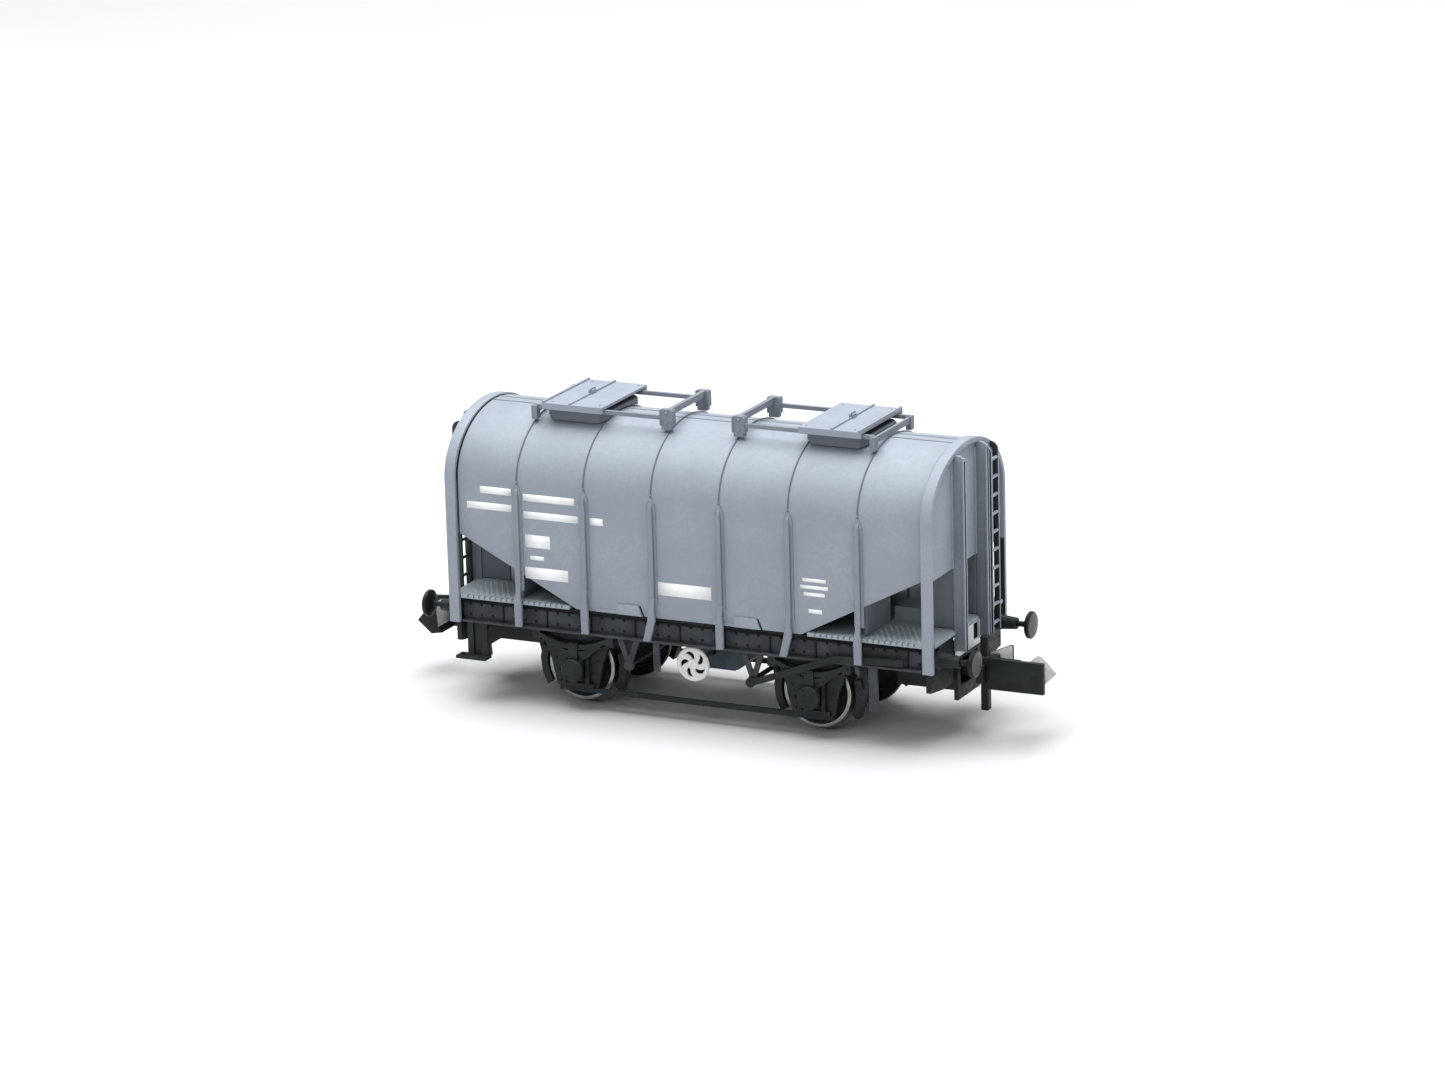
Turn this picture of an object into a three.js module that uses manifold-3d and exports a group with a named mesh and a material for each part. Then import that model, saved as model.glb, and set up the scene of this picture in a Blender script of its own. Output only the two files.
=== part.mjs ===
// A small-scale railway hopper wagon: 9 mm gauge, two axles, covered grain hopper body.
// Frame: millimetres, +X along the wagon, +Z up, origin under the middle of the wagon
// at the level of the wheel flanges. "near" is the -Y side, "far" the +Y side.
import * as THREE from 'three';
import { mergeVertices } from 'three/addons/utils/BufferGeometryUtils.js';
import Module from 'manifold-3d';

const wasm = await Module();
wasm.setup();

// ---- driving dimensions (mm) -------------------------------------------------------------
const FLANGE_DEPTH = 0.6;          // rail top lies this far above the origin
const WHEEL_R = 3.1;
const WHEELBASE = 21.7;
const BACK_TO_BACK = 7.45;         // between the backs of the wheels
const WHEEL_WIDTH = 1.95;
const AXLE_Z = FLANGE_DEPTH + WHEEL_R;
const JOURNAL_R = 0.32;

const END_X = 22.15;               // outer face of the corner posts
const SHELL_END_X = 21.2;          // end of the side sheets and roof
const SHEET_Y = 7.35;              // outer face of the side sheets
const POST_Y = 7.77;               // outer face of the corner posts
const SHEET_T = 0.6;
const SHEET_BOTTOM_Z = 9.05;
const EAVES_Z = 19.3;
const ROOF_RISE = 5.25;
const ARCH_STEPS = 18;
const SLOPE_START_X = 10.3;        // the hopper's sloped ends rise from here
const SLOPE = 0.509;
const RIB_PITCH = 6.22;
const RIB_COUNT = 6;
const RIB_FOOT_Z = 7.15;
const LEANING_RIBS = [2, 4];       // counted from the left end; their feet lean to the left
const RIB_LEAN = 0.5;

const PANEL_X = [-6.55, 4.25];     // access panels on the lower edge of the side

const FLOOR_Z = 9.0;
const FLOOR_T = 0.3;
const FLOOR_TOP = FLOOR_Z + FLOOR_T;
const END_PLATE_Z = 14.5;          // lower edge of the end plates
const T_POST_Y = 2.4;
const T_POST_X = 22.9;
const LADDER_X = 22.65;
const LADDER_Y = 3.88;
const LADDER_W = 1.45;

const SOLEBAR_Y = 6.6;             // inner face of the solebar web
const SOLEBAR_Z = 6.85;
const SOLEBAR_TOP = 8.93;
const HEADSTOCK_X = 21.75;
const HEADSTOCK_Z = 5.2;
const BUFFER_Y = 5.9;
const BUFFER_Z = 7.7;
const BUFFER_FACE_X = 25.35;

const PIVOT_X = 19.2;              // where the coupler tail swings
const COUPLER_Z = 5.5;
const COUPLER_DROOP = 4.7;           // degrees that the left coupler hangs below level
const POCKET_Y = 2.3;
const NOSE_X = 29.3;
const PUSHED_IN = { right: 0, left: 0.3 };   // the left coupler sits against its spring

const HATCH_INNER_X = 3.2;
const HATCH_OUTER_X = 15.45;
const COVER_X = [8.95, 14.55];
const COVER_Y = 4.25;
const RAIL_Y = 3.5;
const RAIL_Z = 25.12;
const COVER_Z = 25.45;
const HANDWHEEL = { y: 6.6, z: 5.2, r: 1.5 };
const HANDWHEEL_SLOTS = 5;
const BRAKE_SHAFT = { x: 5.7, z: 4.6 };

// ---- materials ---------------------------------------------------------------------------
const paint = (color, roughness, metalness = 0) =>
  new THREE.MeshStandardMaterial({ color, roughness, metalness });
const bodyGrey = paint(0x8d97a6, 0.5);
const trimGrey = paint(0x7f8a98, 0.5);
const chassisBlack = paint(0x1c1e20, 0.6);
const couplerBlack = paint(0x26282a, 0.5);
const nickel = paint(0xb9b4aa, 0.3, 1);
const steel = paint(0x8a8a88, 0.4, 1);
const white = paint(0xe9e9ee, 0.45);
const brass = paint(0xb08d4f, 0.35, 1);

// ---- solids ------------------------------------------------------------------------------
function toManifold(geometry) {
  const plain = geometry.clone();
  plain.deleteAttribute('normal');
  plain.deleteAttribute('uv');
  const merged = mergeVertices(plain, 1e-4);
  return new wasm.Manifold(new wasm.Mesh({
    numProp: 3,
    vertProperties: new Float32Array(merged.attributes.position.array),
    triVerts: new Uint32Array(merged.index.array),
  }));
}

function toGeometry(solid) {
  const mesh = solid.getMesh();
  const geometry = new THREE.BufferGeometry();
  const points = new Float32Array(mesh.vertProperties);
  geometry.setAttribute('position', new THREE.BufferAttribute(points, 3));
  geometry.setIndex(new THREE.BufferAttribute(new Uint32Array(mesh.triVerts), 1));
  return geometry;
}

const join = (...parts) => toGeometry(parts.map(toManifold).reduce((a, b) => a.add(b)));

function cut(base, ...tools) {
  return toGeometry(tools.map(toManifold).reduce((a, b) => a.subtract(b), toManifold(base)));
}

function box(x0, x1, y0, y1, z0, z1) {
  const geometry = new THREE.BoxGeometry(x1 - x0, y1 - y0, z1 - z0);
  return geometry.translate((x0 + x1) / 2, (y0 + y1) / 2, (z0 + z1) / 2);
}

function extrude(points, depth) {
  const shape = new THREE.Shape(points.map(([u, v]) => new THREE.Vector2(u, v)));
  return new THREE.ExtrudeGeometry(shape, { depth, bevelEnabled: false });
}

// Outline of (y, z) points swept from x0 to x1.
function prismX(points, x0, x1) {
  const turn = new THREE.Matrix4().makeBasis(
    new THREE.Vector3(0, 1, 0), new THREE.Vector3(0, 0, 1), new THREE.Vector3(1, 0, 0));
  return extrude(points, x1 - x0).applyMatrix4(turn).translate(x0, 0, 0);
}

// Outline of (x, z) points swept from y0 to y1.
function prismY(points, y0, y1) {
  return extrude(points, y1 - y0).rotateX(Math.PI / 2).translate(0, y1, 0);
}

const prismZ = (points, z0, z1) => extrude(points, z1 - z0).translate(0, 0, z0);

// Profile of (radius, distance) pairs turned about an axis through the origin along Y.
function turnedY(profile, segments) {
  return new THREE.LatheGeometry(profile.map(([r, d]) => new THREE.Vector2(r, d)), segments);
}

const turnedX = (profile, segments) => turnedY(profile, segments).rotateZ(-Math.PI / 2);

function rod(from, to, radius, sides = 8) {
  const a = new THREE.Vector3(...from);
  const b = new THREE.Vector3(...to);
  const length = a.distanceTo(b);
  const geometry = new THREE.CylinderGeometry(radius, radius, length, sides);
  const spin = new THREE.Quaternion().setFromUnitVectors(
    new THREE.Vector3(0, 1, 0), b.clone().sub(a).normalize());
  return geometry.applyQuaternion(spin).translate(...a.add(b).multiplyScalar(0.5).toArray());
}

// A flat bar of constant thickness along a line of (x, z) points, between y0 and y1.
function strap(points, thickness, y0, y1) {
  const left = [];
  const right = [];
  points.forEach(([x, z], i) => {
    const [ax, az] = points[Math.max(i - 1, 0)];
    const [bx, bz] = points[Math.min(i + 1, points.length - 1)];
    const length = Math.hypot(bx - ax, bz - az);
    const nx = -(bz - az) / length * thickness / 2;
    const nz = (bx - ax) / length * thickness / 2;
    left.push([x + nx, z + nz]);
    right.unshift([x - nx, z - nz]);
  });
  return prismY([...left, ...right], y0, y1);
}

// ---- the roof's section ------------------------------------------------------------------
const arch = (halfWidth, rise, steps) => Array.from({ length: steps + 1 }, (_, i) => {
  const angle = Math.PI * (1 - i / steps);
  return [halfWidth * Math.cos(angle), EAVES_Z + rise * Math.sin(angle)];
});

// A hoop of the roof's shape, from the foot height up and over.
function hoop(outerY, innerY, outerRise, innerRise, footZ, steps) {
  return [
    [-outerY, footZ], ...arch(outerY, outerRise, steps), [outerY, footZ],
    [innerY, footZ], ...arch(innerY, innerRise, steps).reverse(), [-innerY, footZ],
  ];
}

const slopeZ = (x) => SHEET_BOTTOM_Z + SLOPE * (x - SLOPE_START_X);
const ribPositions = Array.from(
  { length: RIB_COUNT }, (_, i) => (i - (RIB_COUNT - 1) / 2) * RIB_PITCH);
const ends = [['right', 0], ['left', Math.PI]];
const sides = [['near', 0], ['far', Math.PI]];

// ---- body --------------------------------------------------------------------------------
function sideRib(x, index) {
  const flangeHalf = 0.42;
  const lean = LEANING_RIBS.includes(index) ? RIB_LEAN : 0;
  const flange = prismY([
    [x - flangeHalf, 9.9], [x + flangeHalf, 9.9], [x + flangeHalf, 18.7],
    [x + 0.12, 19.4], [x - 0.12, 19.4], [x - flangeHalf, 18.7],
  ], -SHEET_Y - 0.15, -SHEET_Y + 0.1);
  const web = prismX([
    [-SHEET_Y + 0.1, 19.3], [-SHEET_Y - 0.3, 18.9], [-POST_Y, 18.5], [-POST_Y, 11.2],
    [-7.95, 9.6], [-7.95, 8.8], [-7.6, 8.8], [-7.6, 9.45], [-SHEET_Y + 0.1, 9.9],
  ], x - 0.14, x + 0.14);
  const foot = prismY([
    [x - 0.34, 9.0], [x - 0.34 - lean, RIB_FOOT_Z], [x + 0.34 - lean, RIB_FOOT_Z], [x + 0.34, 9.0],
  ], -7.97, -7.6);
  return [flange, web, foot];
}

function bodyShell() {
  const shell = prismX(
    hoop(SHEET_Y, SHEET_Y - SHEET_T, ROOF_RISE, ROOF_RISE - SHEET_T, SHEET_BOTTOM_Z, ARCH_STEPS),
    -SHELL_END_X, SHELL_END_X);
  const wedge = [
    [SLOPE_START_X, SHEET_BOTTOM_Z - 0.01], [SHELL_END_X + 1, SHEET_BOTTOM_Z - 0.01],
    [SHELL_END_X + 1, slopeZ(SHELL_END_X + 1)],
  ];
  const mirrored = wedge.map(([x, z]) => [-x, z]).reverse();
  const trimmed = cut(shell, prismY(wedge, -9, 9), prismY(mirrored, -9, 9));
  const seam = hoop(SHEET_Y + 0.1, SHEET_Y - 0.1, ROOF_RISE + 0.1, ROOF_RISE - 0.1, 19.0, ARCH_STEPS);
  const ribs = ribPositions.flatMap((x, index) => [
    ...sideRib(x, index),
    ...sideRib(x, index).map((piece) => piece.rotateZ(Math.PI)),
    prismX(seam, x - 0.1, x + 0.1),
  ]);
  const strips = [-0.55, 0.55].map((y) => box(
    -SHELL_END_X, SHELL_END_X, y - 0.08, y + 0.08, EAVES_Z + ROOF_RISE - 0.2, EAVES_Z + ROOF_RISE + 0.08));
  const z0 = SHEET_BOTTOM_Z;
  const panels = PANEL_X.flatMap((x) => {
    const outline = [[x, z0], [x + 2.4, z0], [x + 2.05, z0 + 0.95], [x, z0 + 0.95]];
    const panel = prismY(outline, -SHEET_Y - 0.14, -SHEET_Y + 0.1);
    const strip = box(x - 2.0, x + 0.1, -SHEET_Y - 0.08, -SHEET_Y + 0.1, z0, z0 + 0.3);
    return [panel, strip, panel.clone().rotateZ(Math.PI), strip.clone().rotateZ(Math.PI)];
  });
  return join(trimmed, ...ribs, ...strips, ...panels);
}

function endFrame() {
  const rimT = 0.5;
  const ring = hoop(POST_Y, POST_Y - rimT, ROOF_RISE + 0.15, ROOF_RISE - 0.35, END_PLATE_Z, ARCH_STEPS);
  const rim = prismX(ring, SHELL_END_X + 0.02, END_X);
  const plate = prismX(
    [[-7.4, END_PLATE_Z], ...arch(7.4, ROOF_RISE - 0.2, ARCH_STEPS), [7.4, END_PLATE_Z]], 21.45, 21.8);
  const corners = [[-POST_Y, -7.37], [7.37, POST_Y]].map(([y0, y1]) =>
    box(SHELL_END_X + 0.02, END_X, y0, y1, 7.1, END_PLATE_Z + 0.5));
  const posts = [-T_POST_Y, T_POST_Y].flatMap((y) => [
    box(21.79, T_POST_X, y - 0.16, y + 0.16, 7.5, 24.05),
    box(T_POST_X - 0.2, T_POST_X, y - 0.33, y + 0.33, 7.5, 23.95),
  ]);
  // Sill between the two posts, with a square hole on one side.
  const sill = [
    box(21.8, 22.05, -2.4, 1.0, 6.9, 8.96), box(21.8, 22.05, 2.2, 2.4, 6.9, 8.96),
    box(21.8, 22.05, 0.9, 2.3, 6.9, 7.4), box(21.8, 22.05, 0.9, 2.3, 8.85, 8.96),
  ];
  return join(rim, plate, ...corners, ...posts, ...sill);
}

// The sloped floor of the hopper with the bulkhead and webs that hold it up.
function hopperEnd() {
  const x0 = 10.9;
  const x1 = 21.15;
  const sheet = prismY([
    [x0, slopeZ(x0) + 0.05], [x1, slopeZ(x1) + 0.05], [x1, slopeZ(x1) + 0.6], [x0, slopeZ(x0) + 0.6],
  ], -6.7, 6.7);
  const foot = FLOOR_TOP + 0.02;
  const bulkheads = [[-6.7, -1.95], [1.95, 6.7]].map(([y0, y1]) =>
    prismY([[15.6, foot], [15.9, foot], [15.9, slopeZ(15.9) + 0.2], [15.6, slopeZ(15.6) + 0.2]], y0, y1));
  const webTop = END_PLATE_Z - 0.05;
  const webs = [-2.3, 2.3].map((y) => prismY([
    [19.1, foot], [21.75, foot], [21.75, webTop], [SLOPE_START_X + (webTop - 9.25) / SLOPE, webTop],
    [19.1, slopeZ(19.1) + 0.2],
  ], y - 0.12, y + 0.12));
  return join(sheet, ...bulkheads, ...webs);
}

function floorPlate() {
  const quarter = [
    [22.1, 0], [22.1, 1.9], [21.72, 1.9], [21.72, 2.9], [22.1, 2.9], [22.1, 7.0], [21.8, 7.0],
    [21.8, 7.3], [21.15, 7.3], [21.15, 7.55], [10.9, 7.55], [10.9, 6.65],
  ];
  const flip = (points, sx, sy) => points.map(([x, y]) => [x * sx, y * sy]);
  const outline = [
    ...quarter, ...flip(quarter, -1, 1).reverse(),
    ...flip(quarter, -1, -1).slice(1), ...flip(quarter, 1, -1).reverse().slice(0, -1),
  ];
  const plate = prismZ(outline, FLOOR_Z, FLOOR_TOP);
  const blocks = [-1, 1].map((side) => box(
    Math.min(side * 15.95, side * 18.9), Math.max(side * 15.95, side * 18.9), -1.3, 1.3,
    FLOOR_TOP - 0.1, FLOOR_TOP + 1.1));
  return join(plate, ...blocks);
}

function ladder() {
  const stileZ = 22.85;
  const bend = 0.47;
  const stile = (y) => {
    const path = [[LADDER_X, 7.6], [LADDER_X, stileZ]];
    for (let i = 1; i <= 5; i += 1) {
      const angle = (i / 5) * Math.PI / 2;
      path.push([LADDER_X - bend * (1 - Math.cos(angle)), stileZ + bend * Math.sin(angle)]);
    }
    return strap(path, 0.4, y - 0.1, y + 0.1);
  };
  const rungs = Array.from({ length: 10 }, (_, i) => {
    const z = 8.3 + i * 1.55;
    const x = LADDER_X + 0.08;
    return rod([x, LADDER_Y - LADDER_W / 2, z], [x, LADDER_Y + LADDER_W / 2, z], 0.1, 4);
  });
  return join(stile(LADDER_Y - LADDER_W / 2), stile(LADDER_Y + LADDER_W / 2), ...rungs);
}

// ---- roof hatches ------------------------------------------------------------------------
function hatchFrame() {
  const inner = box(HATCH_INNER_X - 0.2, HATCH_INNER_X + 0.2, -3.6, 3.6, 25.38, 25.92);
  const outer = box(HATCH_OUTER_X - 0.13, HATCH_OUTER_X + 0.13, -3.9, 3.9, 24.69, RAIL_Z + 0.1);
  const bars = [-1, 1].flatMap((side) => {
    const span = (y0, y1) => [Math.min(side * y0, side * y1), Math.max(side * y0, side * y1)];
    return [
      box(HATCH_INNER_X, HATCH_OUTER_X, ...span(RAIL_Y - 0.16, RAIL_Y + 0.16), RAIL_Z - 0.1, RAIL_Z + 0.25),
      box(HATCH_INNER_X - 0.35, HATCH_INNER_X + 0.55, ...span(3.1, 3.68), 24.2, 25.95),
      box(HATCH_OUTER_X - 0.25, HATCH_OUTER_X + 0.25, ...span(3.3, 3.95), 24.14, 25.3),
    ];
  });
  return join(inner, outer, ...bars);
}

function hatchCover() {
  const [x0, x1] = COVER_X;
  const plate = box(x0, x1, -COVER_Y, COVER_Y, COVER_Z, COVER_Z + 0.26);
  const skirt = box(x0, x1, 3.95, COVER_Y, COVER_Z - 0.3, COVER_Z + 0.1);
  const skirts = [skirt, skirt.clone().translate(0, -3.95 - COVER_Y, 0)];
  const ridges = [11.95, x1 - 0.14].map((x) => box(
    x - 0.11, x + 0.11, -COVER_Y, COVER_Y, COVER_Z + 0.2, COVER_Z + 0.42));
  const handle = box(11.75, 12.15, -0.35, 0.35, COVER_Z + 0.2, COVER_Z + 0.62);
  return join(plate, ...skirts, ...ridges, handle);
}

function hatchCoaming() {
  const halfY = 3.4;
  const corner = 0.6;
  const x0 = COVER_X[0] + 0.15;
  const x1 = COVER_X[1] + 0.1;
  const outline = [
    [x0 + corner, -halfY], [x1 - corner, -halfY], [x1, -halfY + corner], [x1, halfY - corner],
    [x1 - corner, halfY], [x0 + corner, halfY], [x0, halfY - corner], [x0, -halfY + corner],
  ];
  const block = prismZ(outline, 23.0, 24.98);
  const roof = prismX([[-8, 10], ...arch(SHEET_Y + 0.14, ROOF_RISE + 0.14, 32), [8, 10]], x0 - 1, x1 + 1);
  const mouth = box(x0 + 0.5, x1 - 0.5, -halfY + 0.5, halfY - 0.5, 24.76, 25.5);
  return cut(block, roof, mouth);
}

// ---- underframe --------------------------------------------------------------------------
function solebar() {
  const y = -SOLEBAR_Y;
  const channel = prismX([
    [y, SOLEBAR_Z], [y, SOLEBAR_TOP], [y - 0.75, SOLEBAR_TOP], [y - 0.75, SOLEBAR_TOP - 0.22],
    [y - 0.25, SOLEBAR_TOP - 0.22], [y - 0.25, SOLEBAR_Z + 0.22], [y - 0.75, SOLEBAR_Z + 0.22],
    [y - 0.75, SOLEBAR_Z],
  ], -21.3, 21.3);
  const leverGuide = box(16.2, 17.0, y - 0.7, y - 0.45, 3.1, SOLEBAR_Z + 0.1);
  const dropBar = box(-3.5, -2.9, y - 0.4, y - 0.2, 4.3, SOLEBAR_Z + 0.1);
  const vHanger = (x) => [
    strap([[x, BRAKE_SHAFT.z], [x - 0.8, SOLEBAR_Z + 0.1]], 0.48, y - 0.55, y - 0.35),
    strap([[x, BRAKE_SHAFT.z], [x + 0.8, SOLEBAR_Z + 0.1]], 0.48, y - 0.55, y - 0.35),
    turnedY([[0, -0.15], [0.45, -0.15], [0.45, 0.15], [0, 0.15]], 12)
      .translate(x, y - 0.45, BRAKE_SHAFT.z),
  ];
  return join(channel, leverGuide, dropBar, ...vHanger(-BRAKE_SHAFT.x), ...vHanger(BRAKE_SHAFT.x));
}

function headstock() {
  const z0 = HEADSTOCK_Z;
  const beam = prismX([
    [-7.3, z0], [-4.8, z0 - 0.35], [-2.5, z0 - 0.35], [-2.5, 8.6], [2.5, 8.6], [2.5, z0 - 0.35],
    [4.8, z0 - 0.35], [7.3, z0], [7.3, SOLEBAR_TOP], [-7.3, SOLEBAR_TOP],
  ], 21.33, HEADSTOCK_X);
  const housings = [-BUFFER_Y, BUFFER_Y].map((y) => turnedX([
    [0, -0.2], [0.95, -0.2], [0.95, 0.2], [0.66, 0.35], [0.5, 2.1], [0.3, 2.1], [0.3, 0.6], [0, 0.6],
  ], 12).translate(HEADSTOCK_X, y, BUFFER_Z));
  return join(beam, ...housings);
}

function bufferHead() {
  return turnedX([
    [0, 22.6], [0.24, 22.6], [0.24, 24.4], [0.5, 24.6], [1.15, 24.8], [1.15, 25.2],
    [1.0, BUFFER_FACE_X], [0, BUFFER_FACE_X],
  ], 16);
}

// Guard plate, axlebox and leaf spring in one piece, about the axle's centre line.
function axleguard() {
  const plate = prismY([
    [-1.9, 2.1], [1.9, 2.1], [2.4, 4.3], [3.2, 6.4], [3.2, 8.6], [-3.2, 8.6], [-3.2, 6.4], [-2.4, 4.3],
  ], -6.55, -6.15);
  const guides = [-1.08, 1.08].map((x) => box(x - 0.15, x + 0.15, -6.95, -6.5, 2.4, 4.9));
  const keep = box(-1.6, 1.6, -6.8, -6.5, 2.1, 2.45);
  const axlebox = [
    box(-0.8, 0.8, -7.4, -6.5, 2.85, 4.6),
    turnedY([[0, -0.3], [0.72, -0.3], [0.72, 0.1], [0, 0.1]], 16).translate(0, -7.4, AXLE_Z),
  ];
  const leaf = (half, top, y0) => {
    const line = [-1, -0.66, -0.33, 0, 0.33, 0.66, 1].map((t) => [t * half, top - 0.9 * (1 - t * t)]);
    return strap(line, 0.4, y0, -6.5);
  };
  const spring = [
    leaf(3.3, 6.55, -7.25), leaf(2.5, 6.0, -7.22), leaf(1.7, 5.5, -7.18),
    box(-0.42, 0.42, -7.34, -6.5, 4.5, 6.0),
  ];
  const shackles = [-3.4, 3.4].map((x) => box(x - 0.35, x + 0.35, -7.25, -6.4, 6.0, 6.82));
  const bearing = turnedY([[0, -0.8], [JOURNAL_R + 0.08, -0.8], [JOURNAL_R + 0.08, 0.5], [0, 0.5]], 10)
    .translate(0, -6.4, AXLE_Z);
  return cut(join(plate, ...guides, keep, ...axlebox, ...spring, ...shackles), bearing);
}

// Inner and outer brake blocks of one wheel, hung from a yoke above it.
function brakeShoe(inward) {
  const block = (side) => {
    const arc = (radius) => [-0.55, -0.25, 0.05, 0.35].map(
      (angle) => [side * radius * Math.cos(angle), AXLE_Z + radius * Math.sin(angle)]);
    return [
      prismY([...arc(WHEEL_R + 0.95), ...arc(WHEEL_R + 0.3).reverse()], -5.4, -4.5),
      strap([[side * 3.75, 4.2], [side * 4.1, 5.6]], 0.5, -5.2, -4.7),
      strap([[side * 4.1, 5.3], [side * 3.6, 8.6]], 0.45, -5.2, -4.7),
    ];
  };
  const yoke = box(-3.9, 3.9, -5.2, -4.7, 8.35, 8.85);
  const brace = strap([[inward * 4.1, 5.3], [inward * 5.0, 8.85]], 0.4, -5.2, -4.7);
  return join(...block(1), ...block(-1), yoke, brace);
}

function brakeLever() {
  const bar = strap([[5.6, 4.45], [6.8, 4.85], [10.1, 6.1], [13.4, 7.3], [19.4, 7.55]], 0.55, -7.52, -7.38);
  const eye = turnedY([[0, -0.07], [0.42, -0.07], [0.42, 0.07], [0, 0.07]], 12).translate(5.6, -7.45, 4.45);
  return join(bar, eye);
}

function brakeShaft() {
  const { x, z } = BRAKE_SHAFT;
  return rod([x, -6.88, z], [x, 6.88, z], 0.22);
}

const tieBar = () => box(-12.6, 12.6, -6.5, -6.2, 1.6, 2.06);

function endStep() {
  const plate = cut(
    box(-21.6, -18.8, -8.0, -6.85, 3.8, 4.05), box(-21.3, -19.1, -7.75, -7.2, 3.7, 4.15));
  const outer = box(-20.8, -20.25, -7.25, -7.0, 3.9, SOLEBAR_Z - 0.02);
  const inner = box(-19.5, -18.95, -7.25, -7.0, 3.9, SOLEBAR_Z - 0.02);
  const stay = box(-20.3, -19.4, -7.05, -6.95, 3.9, SOLEBAR_Z - 0.02);
  return join(plate, outer, inner, stay);
}

function dischargeChute() {
  const body = prismY([[-2.3, 3.85], [2.3, 3.85], [3.1, 4.6], [3.1, 8.9], [-2.3, 8.9]], -2.9, 2.9);
  const door = box(-1.9, 1.9, -2.5, 2.5, 3.6, 3.95);
  const bore = rod([0, -4, HANDWHEEL.z], [0, 4, HANDWHEEL.z], 0.27, 12);
  return cut(join(body, door), bore);
}

// Disc wheel with five curved slots.
function handwheel() {
  const { r } = HANDWHEEL;
  const outline = new THREE.Shape().absarc(0, 0, r, 0, 2 * Math.PI, false);
  for (let i = 0; i < HANDWHEEL_SLOTS; i += 1) {
    const start = (i * 2 * Math.PI) / HANDWHEEL_SLOTS;
    const slot = new THREE.Path();
    slot.absarc(0, 0, r - 0.4, start, start + 0.8, false);
    slot.absarc(0, 0, 0.55, start + 0.3, start + 0.05, true);
    slot.closePath();
    outline.holes.push(slot);
  }
  const wheel = new THREE.ExtrudeGeometry(outline, { depth: 0.3, bevelEnabled: false, curveSegments: 4 });
  const hub = turnedX([[0, -0.2], [0.4, -0.2], [0.4, 0.2], [0, 0.2]], 12).rotateY(Math.PI / 2);
  return join(wheel.translate(0, 0, -0.15), hub).rotateX(Math.PI / 2);
}

// ---- couplers ----------------------------------------------------------------------------
function couplerPocket() {
  const outer = join(
    box(16.5, 21.7, -POCKET_Y, POCKET_Y, 4.05, 6.85),
    prismY([[20.4, 4.1], [21.65, 3.25], [21.65, 4.1]], POCKET_Y - 0.3, POCKET_Y),
    prismX([
      [-POCKET_Y, 3.2], [POCKET_Y, 3.2], [POCKET_Y, 6.85], [-POCKET_Y, 6.85],
    ], 21.6, 22.0));
  return cut(outer, box(16.95, 22.5, -1.75, 1.75, 4.35, 6.6));
}

// Arm and hooked nose of a spring coupler; the nose meets its twin with a V-shaped face.
function coupler() {
  const z = COUPLER_Z;
  const shank = box(18.9, 24.0, -0.85, 0.85, z - 0.5, z + 0.5);
  const tail = box(18.6, 19.3, -1.5, 1.5, z - 0.5, z + 0.5);
  const crossbar = box(23.4, 24.1, -2.0, 2.0, z - 0.75, z + 0.8);
  const arm = box(23.7, NOSE_X - 0.1, -1.55, -1.1, 4.2, 6.85);
  const guard = prismY([[22.9, 5.5], [25.2, 5.4], [25.2, 7.1], [24.9, 7.1], [22.9, 6.2]], 1.6, 2.0);
  const nose = prismY([
    [NOSE_X, 5.3], [NOSE_X - 1.3, 6.6], [NOSE_X - 2.3, 6.65], [NOSE_X - 1.95, 6.15],
    [NOSE_X - 1.95, 4.7], [NOSE_X - 2.3, 4.2], [NOSE_X - 1.2, 4.1],
  ], -1.3, 1.2);
  const tailPin = box(23.15, 23.8, -0.35, 0.35, 1.9, 8.3);
  return join(shank, tail, crossbar, arm, guard, nose, tailPin);
}

class Coil extends THREE.Curve {
  constructor(radius, from, to, turns) {
    super();
    Object.assign(this, { radius, from, to, turns });
  }

  getPoint(t, target = new THREE.Vector3()) {
    const angle = t * this.turns * 2 * Math.PI;
    return target.set(
      this.from + t * (this.to - this.from), this.radius * Math.cos(angle), this.radius * Math.sin(angle));
  }
}

function couplerSpring(pushedIn) {
  const turns = 3;
  const wire = 0.11;
  const section = new THREE.Shape(Array.from({ length: 5 }, (_, i) =>
    new THREE.Vector2(wire * Math.cos(i * Math.PI / 2.5), wire * Math.sin(i * Math.PI / 2.5))));
  return new THREE.ExtrudeGeometry(section, {
    steps: turns * 8, extrudePath: new Coil(0.55, 17.15, 18.3 - pushedIn, turns), bevelEnabled: false,
  }).translate(0, 0, COUPLER_Z);
}

// ---- wheelsets ---------------------------------------------------------------------------
const WHEEL_BACK = BACK_TO_BACK / 2;

function axle() {
  const half = [[0.75, 5.9], [JOURNAL_R + 0.1, 6.0], [JOURNAL_R, 6.2], [JOURNAL_R, 6.8], [0, 7.05]];
  const mirrored = half.map(([r, d]) => [r, -d]).reverse();
  return turnedY([...mirrored, ...half], 12);
}

// Tyre with its flange; y grows from the wheel's back to its face.
function tyre() {
  const rim = WHEEL_R - 0.3;
  return turnedY([
    [rim, 0], [WHEEL_R + FLANGE_DEPTH - 0.1, 0], [WHEEL_R + FLANGE_DEPTH, 0.2],
    [WHEEL_R + FLANGE_DEPTH - 0.1, 0.42], [WHEEL_R + 0.05, 0.62], [WHEEL_R - 0.05, WHEEL_WIDTH - 0.12],
    [WHEEL_R - 0.13, WHEEL_WIDTH], [rim, WHEEL_WIDTH], [rim, 0],
  ], 28).translate(0, WHEEL_BACK, 0);
}

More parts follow.
